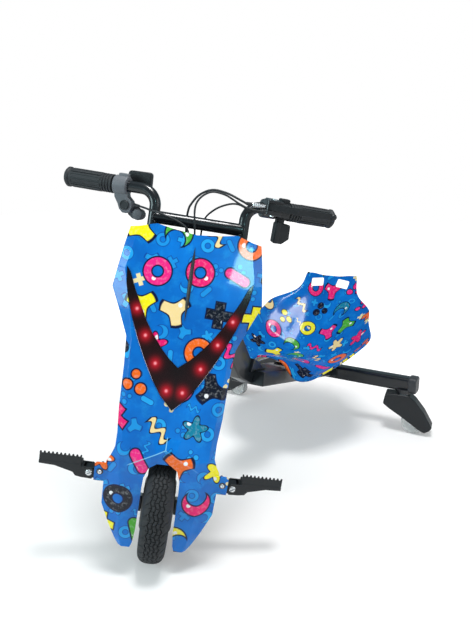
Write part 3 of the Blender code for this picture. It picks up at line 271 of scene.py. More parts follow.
SIDES = ((-1, "right"), (1, "left"))
WHEELBASE, TYRE_R = 0.822, 0.1075
RAKE, STEER_REST = radians(16.0), radians(34.5)
GAP = 0.0003                 # between pieces that touch
ROUND = 48                   # facets round a turned piece
AXLE = Vector((0.0, 0.0, TYRE_R))
HEAD_LOW, HEAD_HIGH, HEAD_R, BEARING_R = 0.226, 0.33, 0.0205, 0.0172
AXIS_FRAME = framed(HOME, AXLE, "X", -RAKE)      # x across, y backwards, z up the steering axis
HEAD_FOOT = AXIS_FRAME @ Vector((0.0, 0.0, HEAD_LOW))
STANDING = shift((0.0, -0.3795, 0.0))            # the origin is the middle of the footprint
STEERED = (STANDING @ shift(HEAD_FOOT) @ Quaternion(Vector((0.0, sin(RAKE), cos(RAKE))), STEER_REST)
           .to_matrix().to_4x4() @ shift(-HEAD_FOOT))
SPINE_FRONT, SPINE_BACK = Vector((0.0, 0.35, 0.261)), Vector((0.0, 0.8017, 0.152))
SPINE_HALF_W, SPINE_HALF_H = 0.045, 0.018


def softened(shape, edge, steps=2, from_angle=28.0):
    """Round the edges that are sharper than an angle."""
    if edge > 0.0:
        sharp = [e for e in shape.edges if e.is_manifold and e.calc_face_angle(0.0) > radians(from_angle)]
        bmesh.ops.bevel(shape, geom=sharp, offset=edge, segments=steps, profile=0.5, affect="EDGES",
                        clamp_overlap=True)
    return shape


def bridged(shape, a, b):
    """Faces between two rings of vertices; a ring of one vertex is a pole."""
    sides = max(len(a), len(b))
    for i, j in ((i, (i + 1) % sides) for i in range(sides) if sides > 1):
        shape.faces.new(list(dict.fromkeys((a[i % len(a)], b[i % len(b)], b[j % len(b)], a[j % len(a)]))))


def prism(outline, low, high, frame=HOME, across="XZ", edge=0.0008, steps=2):
    """Extrude a closed outline and round its sharp edges. across names the outline's two axes; low and
    high lie on the third."""
    first, second = (("XYZ".index(name)) for name in across)
    shape = bmesh.new()
    rings = []
    for height in (low, high):
        points = [[height] * 3 for _ in outline]
        for point, pair in zip(points, outline):
            point[first], point[second] = pair
        rings.append([shape.verts.new(frame @ Vector(point)) for point in points])
    shape.faces.new(rings[0])
    shape.faces.new(list(reversed(rings[1])))
    bridged(shape, *rings)
    bmesh.ops.recalc_face_normals(shape, faces=shape.faces)
    return softened(shape, edge, steps)


def rectangle(x, z):
    return [(x[0], z[0]), (x[1], z[0]), (x[1], z[1]), (x[0], z[1])]


def block(x, y, z, frame=HOME, edge=0.0008, steps=2):
    """A box with rounded edges from its three ranges, each (from, to) or one half width."""
    x, y, z = ((-r, r) if isinstance(r, float) else r for r in (x, y, z))
    return prism(rectangle(x, z), *y, frame, "XZ", edge, steps)


def turned(profile, frame, sides=ROUND):
    """Revolve a closed profile of (radius, height) round the frame's z axis."""
    shape = bmesh.new()
    turns = [2 * pi * i / sides for i in range(sides)]
    rings = [[shape.verts.new(frame @ Vector((radius * cos(turn), radius * sin(turn), height)))
              for turn in (turns if radius > 1e-6 else turns[:1])] for radius, height in profile]
    for a, b in zip(rings, rings[1:] + rings[:1]):
        bridged(shape, a, b)
    bmesh.ops.recalc_face_normals(shape, faces=shape.faces)
    return shape


def rod(radius, low, high, frame=HOME, sides=ROUND, hole=0.0, edge=0.0005):
    """A bar, or with a hole a sleeve, between two heights on the frame's z axis, its rims rounded."""
    third = edge * 0.29
    rim = ((radius - edge, 0.0), (radius - third, third), (radius, edge))
    return turned([(hole, low), *((r, low + h) for r, h in rim), *((r, high - h) for r, h in reversed(rim)),
                   (hole, high)], frame, sides)


def rounded_outline(corners, radius, steps=5):
    """A closed 2-D outline with its corners rounded; radius is one value or one for each corner."""
    radii = radius if isinstance(radius, (list, tuple)) else [radius] * len(corners)
    outline = []
    for k, corner in enumerate(map(Vector, corners)):
        if radii[k] <= 0:
            outline.append(tuple(corner))
            continue
        u = (Vector(corners[k - 1]) - corner).normalized()
        v = (Vector(corners[(k + 1) % len(corners)]) - corner).normalized()
        reach = radii[k] / tan(u.angle(v) / 2)
        start, end = corner + u * reach, corner + v * reach
        for i in range(steps + 1):
            t = i / steps
            outline.append(tuple(start * (1 - t) ** 2 + corner * 2 * t * (1 - t) + end * t ** 2))
    return outline


def as_object(name, shape):
    mesh = bpy.data.meshes.new(name)
    shape.to_mesh(mesh)
    shape.free()
    return link(name, mesh)


def as_shape(obj):
    """An object's mesh to work on; the object goes."""
    shape, mesh = bmesh.new(), obj.data
    shape.from_mesh(mesh)
    bpy.data.objects.remove(obj, do_unlink=True)
    bpy.data.meshes.remove(mesh)
    return shape


def plain_mesh(obj):
    """Turn an object's modifiers into its mesh and take them off."""
    bpy.context.view_layer.update()
    view = bpy.context.evaluated_depsgraph_get()
    mesh = bpy.data.meshes.new_from_object(obj.evaluated_get(view), depsgraph=view)
    obj.modifiers.clear()
    old, obj.data = obj.data, mesh
    bpy.data.meshes.remove(old)
    return obj


def combined(whole, tools, operation):
    """Booleans of one shape with others, in turn; all are used up."""
    for tool in tools:
        made = [as_object("shape", shape) for shape in (whole, tool)]
        step = made[0].modifiers.new("step", "BOOLEAN")
        step.operation, step.object = operation, made[1]
        whole = as_shape(plain_mesh(made[0]))
        as_shape(made[1]).free()
        bmesh.ops.dissolve_degenerate(whole, dist=1e-6, edges=whole.edges)
    return whole


def fused(*shapes):
    return combined(shapes[0], shapes[1:], "UNION")


def cut(whole, *tools):
    return combined(whole, tools, "DIFFERENCE")


SHARP_FROM = 32.0            # edges over this angle are shaded sharp, in degrees


def assemble(name, shape, material, replaced=None, body="steering", at=None, smooth=SHARP_FROM, mapped=None):
    """Name a shape and dress it."""
    bmesh.ops.recalc_face_normals(shape, faces=shape.faces)
    return dress(as_object(name, shape), material, replaced, body, at, smooth, mapped)


def dress(obj, material, replaced=None, body="steering", at=None, smooth=SHARP_FROM, mapped=None):
    """Put a piece in its place on its body, for the solid that it replaces, and give it its finish.
    mapped(point) gives the print's coordinates on the straight-ahead shape."""
    obj.data.shade_smooth()
    obj.data.set_sharp_from_angle(angle=radians(smooth))
    # Flat faces keep their own shading beside rounded edges
    facets = obj.modifiers.new("facets", "WEIGHTED_NORMAL")
    facets.keep_sharp = True
    mesh = plain_mesh(obj).data
    if mapped:
        spots = mesh.attributes.new("print", "FLOAT_VECTOR", "POINT")
        for spot, vertex in zip(spots.data, mesh.vertices):
            spot.vector = mapped(vertex.co)
    mesh.transform(at or (STANDING if body == "kart" else STEERED))
    if not mesh.materials:
        mesh.materials.append(material)
    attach(obj, body)
    if replaced:
        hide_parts(replaced)
    return obj


def mottled(patches, dark, light, roughness, grain=None, depth=0.0, strength=0.0):
    """What most surfaces share: a colour and a roughness (least, spread) that vary in patches, and a
    fine grain. patches and grain are the noise's scale, detail and roughness."""
    least, spread = roughness

    def detail(tree):
        patch = tree.noise(*patches)
        made = {"Base Color": tree.blend(patch, dark, light), "Roughness": patch * spread + least}
        if grain:
            made["Normal"] = tree.bump(tree.noise(*grain), depth, strength)
        return made
    return detail


# Satin black with the fine orange peel of baked powder
black_steel = finish("black_powder_coat", {
    "Specular IOR Level": 0.42, "Coat Weight": 0.5, "Coat Roughness": 0.08}, mottled(
    (14.0, 3.0), (0.006, 0.0075, 0.01), (0.011, 0.0135, 0.017), (0.24, 0.1), (620.0, 2.0, 0.6), 0.00012, 0.4))

spine_slope = SPINE_BACK - SPINE_FRONT
spine_end = spine_slope.length
SPINE_FRAME = framed(HOME, SPINE_FRONT, "X", atan2(spine_slope.z, spine_slope.y))

neck_top = [(0.088, 0.4045), (0.215, 0.41), (0.283, 0.4), (0.366, 0.276)]
neck_low = [(0.366, 0.246), (0.335, 0.25), (0.292, 0.275), (0.24, 0.346), (0.074, 0.344)]
neck = prism(rounded_outline(neck_top + neck_low, [0, 0.02, 0.045, 0, 0, 0, 0.012, 0.035, 0], 10),
             -0.015, 0.015, across="YZ", edge=0.004, steps=3)
neck = cut(neck, rod(BEARING_R + 0.001, HEAD_LOW - 0.02, HEAD_HIGH + 0.02, AXIS_FRAME))
gusset = prism([(0.33, 0.28), (0.366, 0.2775), (0.395, 0.271), (0.366, 0.298), (0.345, 0.31)],
               -0.022, 0.022, across="YZ", edge=0.002)
assemble("frame_weldment", fused(
    neck, rod(HEAD_R, HEAD_LOW, HEAD_HIGH, AXIS_FRAME, hole=BEARING_R, edge=0.001), gusset,
    block(SPINE_HALF_W, (0.0, spine_end), SPINE_HALF_H, SPINE_FRAME, 0.0035, 3),
    block(0.06, (spine_end - 0.004, spine_end), 0.017, SPINE_FRAME)), black_steel, "main_frame", "kart")


def group_of(name, result, **kinds):
    """A Geometry Nodes group with inputs of these kinds: its tree and each input's identifier."""
    group = bpy.data.node_groups.new(name, "GeometryNodeTree")
    new = group.interface.new_socket
    ports = {label: new(label, in_out="INPUT", socket_type=f"NodeSocket{kind}").identifier
             for label, kind in kinds.items()}
    new(result, in_out="OUTPUT", socket_type="NodeSocketGeometry")
    return Tree(group), ports


def given(tree, label):
    return tree.node("NodeGroupInput", output=label)


def close_group(tree, result, geometry):
    """Realize what was made and give it its material."""
    tree.node("NodeGroupOutput", None, {result: tree.node("GeometryNodeSetMaterial", None, {
        "Geometry": tree.node("GeometryNodeRealizeInstances", None, {"Geometry": geometry}),
        "Material": given(tree, "Finish")})}, None)


def grown(name, mesh, tree, ports, **values):
    """An object of a node group with these inputs, as a plain mesh."""
    made = link(name, mesh)
    step = made.modifiers.new("step", "NODES")
    step.node_group = tree.tree
    for label, value in values.items():
        step[ports[label]] = value
    return plain_mesh(made)


def studded(name, shape, places, material, **dressing):
    """Set a small piece on each of a list of places, matrices, with Geometry Nodes, and dress them."""
    piece = as_object("loose_piece", shape)
    piece.data.shade_smooth()
    piece.data.set_sharp_from_angle(angle=radians(SHARP_FROM))
    points = bpy.data.meshes.new(name)
    points.from_pydata([m.translation for m in places], [], [])
    turns = points.attributes.new("turn", "FLOAT_VECTOR", "POINT")
    for turn, place in zip(turns.data, places):
        turn.vector = place.to_euler("XYZ")
    tree, ports = group_of(name, "Result", Places="Geometry", Piece="Object", Finish="Material")
    turn = tree.node("FunctionNodeEulerToRotation", None, {"Euler": tree.node(
        "GeometryNodeInputNamedAttribute", {"data_type": "FLOAT_VECTOR"}, {"Name": "turn"}, "Attribute")})
    close_group(tree, "Result", tree.node("GeometryNodeInstanceOnPoints", None, {
        "Points": tree.node("GeometryNodeMeshToPoints", None, {"Mesh": given(tree, "Places")}),
        "Instance": tree.node("GeometryNodeObjectInfo", None, {"Object": given(tree, "Piece")}, "Geometry"),
        "Rotation": turn}))
    made = grown(name, points, tree, ports, Piece=piece, Finish=material)
    bpy.data.objects.remove(piece, do_unlink=True)
    return dress(made, material, **dressing)


WELD_BEAD, WELD_PITCH = 0.0021, 0.0017           # radius of one ripple of a weld, and their spacing


def along(points):
    """Places for a weld's ripples along a broken line."""
    places = []
    for a, b in zip(map(Vector, points), map(Vector, points[1:])):
        count = max(1, round((b - a).length / WELD_PITCH))
        places += [shift(a.lerp(b, i / count)) for i in range(count)]
    return places


def weld(name, places, body="steering"):
    """A row of overlapping ripples."""
    bead = bmesh.new()
    bmesh.ops.create_icosphere(bead, subdivisions=1, radius=WELD_BEAD)
    studded(name, bead, places, black_steel, body=body, smooth=180.0)


foot_y = spine_end + 0.001
foot_seam = [(0.0455, foot_y, -0.019), (0.0455, foot_y, 0.0185), (-0.0455, foot_y, 0.0185),
             (-0.0455, foot_y, -0.019)]
half_seam = [(0.016, 0.3525, 0.246), (0.016, 0.3575, 0.279), (0.0225, 0.366, 0.2785), (0.0225, 0.396, 0.2708)]
seams = along(half_seam + [(-x, y, z) for x, y, z in reversed(half_seam)])
for side in (-1, 1):
    seams += along([AXIS_FRAME @ Vector((side * HEAD_R * 0.7, HEAD_R * 0.73, h)) for h in (0.2455, 0.3185)])
seams += along([SPINE_FRAME @ Vector(p) for p in foot_seam])
weld("frame_welds", seams, "kart")


# Rear cross beam: a square tube with rounded corners welded over the spine's end, a swivel boss under
# each end, and a moulded cap pressed into each open end.

BEAM_Z, BEAM_HALF, CASTER_X, CASTER_Y = 0.144, 0.282, 0.262, 0.812
BOSS_R, BOSS_LOW = 0.0195, 0.026                 # the boss reaches this far under the beam's middle


def moulding_grain_and_sheen(tree):
    """Fine spark-eroded grain of black moulded plastic, with a painted sheen: greyer where a piece asks for
    it.
    """
    made = mottled((20.0, 3.0), (0.008, 0.0098, 0.012), (0.015, 0.0175, 0.0205), (0.36, 0.14),
                   (1150.0, 2.0, 0.7), 0.0001, 0.6)(tree)
    # Painted sheen: the print attribute's z lightens the black towards grey, partly a lighter moulding,
    # partly painted highlight
    made["Base Color"] = tree.blend(tree.axis(tree.printed(), 2), made["Base Color"], (0.15, 0.16, 0.178))
    return made


def painted_sheen(strength):
    """A mapping that gives a whole piece this much of the painted sheen, a lighter grey over its black."""
    return lambda point: Vector((0.0, 0.0, strength))


black_plastic = finish("black_moulding", {"Specular IOR Level": 0.42}, moulding_grain_and_sheen)


def tube_section(half_h, half_d, corner):
    return rounded_outline(rectangle((-half_d, half_d), (-half_h, half_h)), corner)


beam = prism(tube_section(0.02, 0.019, 0.009), -BEAM_HALF, BEAM_HALF, shift((0.0, WHEELBASE, BEAM_Z)), "YZ",
             0.0005)
for side in (-1, 1):
    swivel = shift((side * CASTER_X, CASTER_Y, BEAM_Z))
    beam = fused(beam, rod(BOSS_R, -BOSS_LOW, -0.012, swivel, edge=0.001))
    beam = cut(beam, rod(0.0085, -0.05, 0.0, swivel))
assemble("rear_cross_beam", beam, black_steel, "rear_beam", "kart")
boss_seam = [(0.02 * cos(2 * pi * k / 72), CASTER_Y + 0.02 * sin(2 * pi * k / 72)) for k in range(72)]
weld("beam_welds", [shift((side * CASTER_X + x, y, BEAM_Z - 0.0203)) for side in (-1, 1)
                    for x, y in boss_seam if abs(y - WHEELBASE) < 0.0185], "kart")

for side, word in SIDES:
    end = shift((side * BEAM_HALF, WHEELBASE, BEAM_Z)) @ Matrix.Scale(side, 4, (1, 0, 0))
    cap = cut(prism(tube_section(0.0243, 0.0233, 0.015), -0.0085, 0.016, end, "YZ", 0.0055, 4),
              prism(tube_section(0.0203, 0.0193, 0.0093), -0.02, GAP, end, "YZ", 0.0))
    # Painted sheen: the cap's black is lightened about a quarter of the way to grey
    assemble(f"beam_cap_{word}", cap, black_plastic, f"beam_end_cap_{word}", "kart", mapped=painted_sheen(0.24))


# Casters: a pressed zinc-plated swivel fork with its stem in the beam's boss, a moulded teardrop cover
# clipped over it, and a milky clear urethane wheel on a black hub that slides on the ground in a drift.

TRAIL, CASTER_R, CASTER_REST = 0.034, 0.035, radians(81.0)

# Bright zinc with a faint bluish bloom
zinc_steel = finish("zinc_plating", {"Metallic": 0.75}, mottled(
    (45.0, 4.0, 0.6), (0.64, 0.66, 0.69), (0.82, 0.83, 0.84), (0.16, 0.14), (380.0, 2.0, 0.5), 0.00005, 0.4))
# Milky urethane, a little yellower and duller where it has run
clear_urethane = finish("clear_urethane", {
    "Transmission Weight": 0.55, "IOR": 1.48, "Coat Weight": 0.3}, mottled(
    (60.0, 3.0), (0.78, 0.82, 0.82), (0.88, 0.9, 0.89), (0.18, 0.15)))

CHEEK = [(-0.015, 0.109), (-0.015, 0.092), (TRAIL - 0.01, CASTER_R - 0.006), (TRAIL, CASTER_R - 0.01),
         (TRAIL + 0.01, CASTER_R - 0.004), (TRAIL + 0.009, CASTER_R + 0.012), (0.022, 0.092), (0.017, 0.109)]
HOOD = [(-0.0545, 0.085), (-0.049, 0.117), (-0.022, 0.1175), (0.018, 0.1165), (0.036, 0.102), (0.0615, 0.071),
        (0.086, 0.029), (0.08, 0.019), (0.066, 0.01), (0.051, 0.016), (0.003, 0.048), (-0.037, 0.072)]
HOLLOW = [(-0.0525, 0.045), (-0.0515, 0.092), (-0.0465, 0.1135), (0.016, 0.113), (0.0335, 0.1),
          (0.059, 0.069), (0.0825, 0.029), (0.076, -0.01), (0.03, -0.01)]
half_tread = [(0.0105, 0.012), (0.027, 0.012), (0.03, 0.0117), (0.0325, 0.0102), (0.0341, 0.0075),
              (0.0348, 0.004)]
half_hub = [(0.0043, 0.013), (0.0096, 0.013), (0.0102, 0.0124)]
hub_line = framed(HOME, (0.0, TRAIL, CASTER_R))
boss_low = BEAM_Z - BOSS_LOW
for side, word in SIDES:
    swung = framed(STANDING, (side * CASTER_X, CASTER_Y, 0.0), "Z", -side * CASTER_REST)
    turning = {"body": f"{word}_caster", "at": swung}
    rolling = {"body": f"{word}_caster_wheel", "at": swung}
    fork = fused(block(0.0165, (-0.017, 0.018), (0.1055, 0.11), edge=0.001),
                 prism(CHEEK, -0.0165, -0.014, across="YZ", edge=0.0005),
                 prism(CHEEK, 0.014, 0.0165, across="YZ", edge=0.0005),
                 rod(0.017, 0.109, boss_low - GAP, edge=0.0015), rod(0.008, 0.1, boss_low + 0.02))
    fork = cut(fork, rod(0.0043, -0.03, 0.03, hub_line, 24))
    assemble(f"swivel_fork_{word}", fork, zinc_steel, f"caster_fork_{word}", **turning)
    hood = cut(prism(rounded_outline(HOOD, 0.006), -0.0225, 0.0225, across="YZ", edge=0.0035, steps=4),
               prism(HOLLOW, -0.0198, 0.0198, across="YZ", edge=0.002), rod(0.0176, 0.09, 0.13))
    assemble(f"teardrop_cover_{word}", hood, black_plastic, f"caster_cover_{word}", **turning)
    tread = turned([(r, -x) for r, x in half_tread] + [(CASTER_R, 0.0)] + half_tread[::-1], hub_line, 72)
    assemble(f"clear_wheel_{word}", tread, clear_urethane, f"caster_wheel_{word}", **rolling)
    hub = turned([(r, -x) for r, x in half_hub] + half_hub[::-1], hub_line)
    assemble(f"wheel_hub_{word}", hub, black_plastic, f"caster_hub_{word}", **rolling)
    axle = fused(rod(0.004, -0.0185, 0.0185, hub_line, 24), rod(0.0065, -0.0192, -0.0168, hub_line, 6),
                 rod(0.0065, 0.0168, 0.0192, hub_line, 6))
    assemble(f"wheel_axle_{word}", axle, zinc_steel, f"caster_axle_{word}", **turning)


# Bucket seat: one blow-moulded shell, 4 mm thick, with raised sides, an arch over the spine and two
# hand slots in its crown, printed all over and bolted to two flat steel bars across the spine.

# Rows from the front lip over the pan and up the back: middle (y, z), half width of the arch or pan's
# flat, hollow and side (x, y, z)
SEAT_ROWS = [
    ((0.456, 0.279), 0.043, (0.063, 0.47, 0.218), (0.128, 0.5, 0.24)),
    ((0.478, 0.277), 0.044, (0.073, 0.505, 0.218), (0.154, 0.538, 0.256)),
    ((0.56, 0.246), 0.048, (0.092, 0.575, 0.216), (0.19, 0.6, 0.286)),
    ((0.65, 0.222), 0.048, (0.092, 0.662, 0.222), (0.205, 0.668, 0.304)),
    ((0.714, 0.23), 0.046, (0.088, 0.717, 0.251), (0.178, 0.722, 0.317)),
    ((0.765, 0.272), 0.048, (0.09, 0.752, 0.297), (0.163, 0.75, 0.341)),
    ((0.815, 0.328), 0.046, (0.088, 0.802, 0.342), (0.16, 0.787, 0.359)),
    ((0.852, 0.378), 0.034, (0.066, 0.846, 0.376), (0.1, 0.838, 0.376)),
    ((0.872, 0.408), 0.029, (0.056, 0.87, 0.404), (0.085, 0.868, 0.402)),
    ((0.884, 0.427), 0.029, (0.056, 0.885, 0.432), (0.082, 0.886, 0.442)),
]
FOLD_ROW, FOLD_SHARPNESS = 4, 0.55       # where the back rises from the pan
CROWN_ROUND_AT = (0.065, 0.425)        # middle of the arc of the crown's corner, x and z
HAND_SLOT = [(0.019, 0.398), (0.059, 0.394), (0.062, 0.417), (0.023, 0.421)]
SEAT_BARS_AT = (0.235, 0.315)
SEAT_T = BAR_T = 0.004           # walls of the seat and its bars
MOTIF = 0.07                # spacing of the print's motifs
PRINT_BLUE, PRINT_DEEP, PRINT_SKY = (0.001, 0.225, 0.77), (0.001, 0.118, 0.48), (0.02, 0.42, 0.88)
# The last colour on the next line is a painted highlight, laid along the fairing's nose creases
PRINT_NAVY, PRINT_WHITE, CREASE_HIGHLIGHT = (0.003, 0.008, 0.045), (0.9, 0.92, 0.94), (0.3, 0.78, 0.95)
PRINT_SHIFT, PRINT_TALL, NOSE_Z, NOSE_SLOPE = (0.021, 0.013), 1.05, 0.2515, -0.553
PRINT_FILLS = [
    (0.93, 0.84, 0.01), (0.86, 0.01, 0.17), (0.92, 0.15, 0.01), (0.004, 0.006, 0.016), (0.93, 0.84, 0.01),
    (0.07, 0.42, 0.03), (0.88, 0.02, 0.24), (0.004, 0.22, 0.36), (0.92, 0.7, 0.32), (0.9, 0.82, 0.03)]


def hypotenuse(x, y):
    """Distance from the middle."""
    return (x * x + y * y).maths("SQRT")


def motif_layer(tree, spots, spacing, seed, shrink):
    """One layer of the print: cells in staggered rows, in each a random motif, turned and shifted.
    Gives the distance to the motif's outline in cells, its own x and y, and its colour number."""
    u, v = (tree.axis(spots, k) / spacing for k in range(2))
    row = v.maths("FLOOR")
    u = u + row.maths("MODULO", 2.0) * 0.5 + row * 0.13
    column = u.maths("FLOOR")
    cell = tree.node("ShaderNodeCombineXYZ", None, {0: column, 1: row, 2: seed})
    luck = [tree.node("ShaderNodeSeparateColor", None, {0: tree.node(
        "ShaderNodeTexWhiteNoise", {"noise_dimensions": "4D"}, {"Vector": cell, "W": w}, "Color")}, k)
        for w in (0.3, 7.7) for k in range(3)]
    x, y = u - column - 0.5 + (luck[0] - 0.5) * 0.2, v - row - 0.5 + (luck[1] - 0.5) * 0.2
    turn = luck[2] * 6.283                  # up to a full turn
    cosine, sine = turn.maths("COSINE"), turn.maths("SINE")
    x, y = (x * cosine + y * sine) * shrink, (y * cosine - x * sine) * shrink
    far, angle, wide, tall = hypotenuse(x, y), y.maths("ARCTAN2", x), abs(x), abs(y)

    def blob(dx, dy, radius):
        return hypotenuse(x - dx, y - dy) - radius

    motifs = [
        abs(far - 0.2) - 0.075,                                                        # ring
        (wide - 0.25).most(tall - 0.085).least((wide - 0.085).most(tall - 0.25)),       # plus
        hypotenuse((wide - 0.17).most(0.0), y) - 0.1,                                      # capsule
        blob(0.0, 0.0, 0.27).most(-1.0 * blob(0.14, 0.05, 0.21)),                       # crescent
        far - 0.185 - (angle * 5.0).maths("COSINE") * 0.065,                            # five petals
        far * abs(((angle + 3.1416) * 3.0 / 2.0).maths("COSINE")).most(0.5) - 0.145,    # trefoil
        (abs((x * 23.0).maths("SINE") * 0.075 - y) - 0.055).most(wide - 0.26),          # wave
        blob(-0.15, -0.05, 0.105).least(blob(0.15, -0.06, 0.085)).least(blob(0.02, 0.16, 0.095)),  # dots
    ]
    pick = (luck[3] * len(motifs)).maths("FLOOR")
    outline = 0.0
    for number, distance in enumerate(motifs):
        outline = pick.maths("COMPARE", float(number), 0.1) * distance + outline
    return outline, x, y, luck[4], luck[5]


def print_film(tree):
    """Glossy printed film, duller on the seat: mottled blue with outlined, brightly filled motifs over
    fainter ones."""
    spots = tree.printed()
    cloud = tree.noise(9.0, 4.0, 0.6, spots)
    wash = tree.noise(30.0, 4.0, 0.65, spots)
    colour = tree.blend((cloud - 0.35) * 2.2, PRINT_DEEP, PRINT_BLUE)
    colour = tree.blend((wash - 0.52).most(0.0) * 1.6, colour, PRINT_SKY)
    faint, x, y, shade, keep = motif_layer(tree, spots, MOTIF * 0.6, 4.0, 0.92)
    drawn = keep.below(0.78, 0.01)
    colour = tree.blend(abs(faint).below(0.018, 0.012) * drawn * 0.8, colour, (0.003, 0.045, 0.3))
    colour = tree.blend(faint.below(-0.01, 0.012) * drawn * (shade * 0.5 + 0.35), colour, PRINT_SKY)
    colour = tree.blend(faint.below(-0.006, 0.012) * (1.0 - keep.below(0.9, 0.01)), colour, (0.86, 0.74, 0.4))
    bold, x, y, shade, keep = motif_layer(tree, spots, MOTIF, 1.0, 0.76)
    shown = keep.below(0.93, 0.01)
    fill = tree.node("ShaderNodeValToRGB", {"steps": PRINT_FILLS}, {0: shade}, "Color")
    brush = tree.noise(150.0, 3.0, 0.6, spots)
    fill = tree.blend((brush - 0.5).most(0.0) * 0.8, fill, PRINT_WHITE)
    colour = tree.blend(abs(bold).below(0.022, 0.01) * shown, colour, PRINT_NAVY)
    colour = tree.blend(bold.below(-0.008, 0.01) * shown, colour, fill)
    glint = hypotenuse(x + 0.1, y - 0.12).below(0.036, 0.012)
    colour = tree.blend(glint * bold.below(-0.02, 0.01) * shown, colour, PRINT_WHITE)
    # Painted highlight: pale lines along the creases of the fairing's nose, stronger on the rider's right
    # half
    x, z, on_fairing = (tree.axis(spots, k) for k in range(3))
    x, z = x - PRINT_SHIFT[0], (z - PRINT_SHIFT[1]) / PRINT_TALL
    low, rise = abs(x) * NOSE_SLOPE + NOSE_Z, z - NOSE_Z
    slant = abs(z - low).below(0.0005, 0.0007) * abs(x).below(0.06, 0.006)
    upright = abs(x).below(0.0005, 0.0005) * abs(rise - 0.01).below(0.009, 0.002)
    pale = slant.most(upright) * on_fairing * (0.7 - x.maths("GREATER_THAN", 0.002) * 0.55)
    colour = tree.blend(pale, colour, CREASE_HIGHLIGHT)
    colour = tree.blend((1.0 - on_fairing) * 0.28, colour, (0.0, 0.004, 0.03))
    ripple = tree.noise(26.0, 2.0, 0.5)
    return {"Base Color": colour, "Roughness": cloud * 0.1 + 0.17, "Coat Weight": on_fairing * 0.42 + 0.17,
            "Normal": tree.bump(ripple, 0.0012, 0.12)}


printed_shell = finish("printed_film", {"Specular IOR Level": 0.1, "Coat Roughness": 0.04},
                       print_film)


def seat_print(point):
    """Back along the pan and on up the back."""
    up_back = max(0.0, point.y - SEAT_ROWS[FOLD_ROW][0][0])
    return Vector((point.x * 1.08, point.y * 1.02 + up_back * 0.53, 0.0))


def sheet_of(rows, outwards):
    """A sheet over rows of points, its faces turned outwards, and its vertices row by row."""
    sheet = bmesh.new()
    rows = [[sheet.verts.new(point) for point in row] for row in rows]
    for a, b in zip(rows, rows[1:]):
        for i in range(len(a) - 1):
            sheet.faces.new((a[i], a[i + 1], b[i + 1], b[i]))
    bmesh.ops.recalc_face_normals(sheet, faces=sheet.faces)
    if sum(f.normal.dot(Vector(outwards)) for f in sheet.faces) < 0:
        bmesh.ops.reverse_faces(sheet, faces=sheet.faces)
    return sheet, rows


def both_sides(half):
    """A line of points from the middle out to the left, with its mirror image put before it."""
    return [Vector((-p.x, p.y, p.z)) for p in reversed(half[1:])] + half


seat_lines = []
for middle, flat, hollow, side_edge in SEAT_ROWS:
    hollow, side_edge = Vector(hollow), Vector(side_edge)
    seat_lines.append(both_sides([
        Vector((0.0, *middle)), Vector((flat, middle[0] + 0.002, middle[1] - 0.002)), hollow,
        (hollow + side_edge) / 2 + Vector((0.01, 0.0, -0.006)), side_edge]))
shell, seat_rows = sheet_of(seat_lines, (0.0, 0.0, 1.0))
fold = seat_rows[FOLD_ROW]
crease = shell.edges.layers.float.new("crease_edge")
for a, b in zip(fold[1:], fold[2:-1]):
    shell.edges.get((a, b))[crease] = FOLD_SHARPNESS
seat = as_object("seat_sheet", shell)
curve = seat.modifiers.new("curve", "SUBSURF")
curve.levels = curve.render_levels = 3
curve.boundary_smooth = "ALL"
plain_mesh(seat)
for vertex in seat.data.vertices:              # round the corners of the crown
    u, v = abs(vertex.co.x) - CROWN_ROUND_AT[0], vertex.co.z - CROWN_ROUND_AT[1]
    if u > 0.0 and v > 0.0:
        share = max(u, v) / hypot(u, v)
        vertex.co.x = copysign(CROWN_ROUND_AT[0] + u * share, vertex.co.x)
        vertex.co.z = CROWN_ROUND_AT[1] + v * share
wall = seat.modifiers.new("wall", "SOLIDIFY")
wall.thickness, wall.offset = SEAT_T, 1.0
rim = seat.modifiers.new("rim", "BEVEL")
rim.width, rim.segments, rim.limit_method, rim.angle_limit = 0.0014, 3, "ANGLE", radians(50.0)
shell = as_shape(plain_mesh(seat))
for side in (-1, 1):
    slot = rounded_outline([(side * x, z) for x, z in HAND_SLOT], 0.005)
    shell = cut(shell, prism(slot, 0.8, 0.95, edge=0.0))
assemble("bucket_seat", shell, printed_shell, "seat", "kart", smooth=50.0, mapped=seat_print)

for distance, word in zip(SEAT_BARS_AT, ("front", "rear")):
    low = SPINE_HALF_H + GAP
    bar = block(0.04, (distance - 0.013, distance + 0.013), (low, low + BAR_T), SPINE_FRAME, 0.0012)
    assemble(f"flat_bar_{word}", bar, black_steel, f"seat_bar_{word}", "kart")


def button_screw(radius, height, bit):
    """Round-headed screw with a six-sided recess, its seat at z = 0."""
    head = turned([(0.0, 0.0), (radius * 0.92, 0.0), (radius, height * 0.25), (radius * 0.86, height * 0.72),
                   (radius * 0.55, height * 0.96), (0.0, height)], HOME, 24)
    return cut(head, rod(bit, height * 0.35, height * 1.4, HOME, 6, edge=0.0001))


bolt_heads = [SPINE_FRAME @ shift((x, distance, SPINE_HALF_H + GAP + BAR_T + SEAT_T + 0.0012))
              for distance in SEAT_BARS_AT for x in (-0.028, 0.028)]
studded("seat_bolts", button_screw(0.0065, 0.0034, 0.0022), bolt_heads, zinc_steel, body="kart")


# Front fork: two flat steel legs with axle blocks inside their ends, a wide crown and the steerer in a
# threadless headset of two zinc-plated bearing cups under a hexagonal nut.

CROWN_LOW, CROWN_HIGH, CROWN_HALF = 0.2, 0.2102, 0.085
BOSS_IN, LEG_IN, LEG_OUT = 0.0309, 0.046, 0.06
STEERER_R, STEERER_TOP = 0.014, 0.432

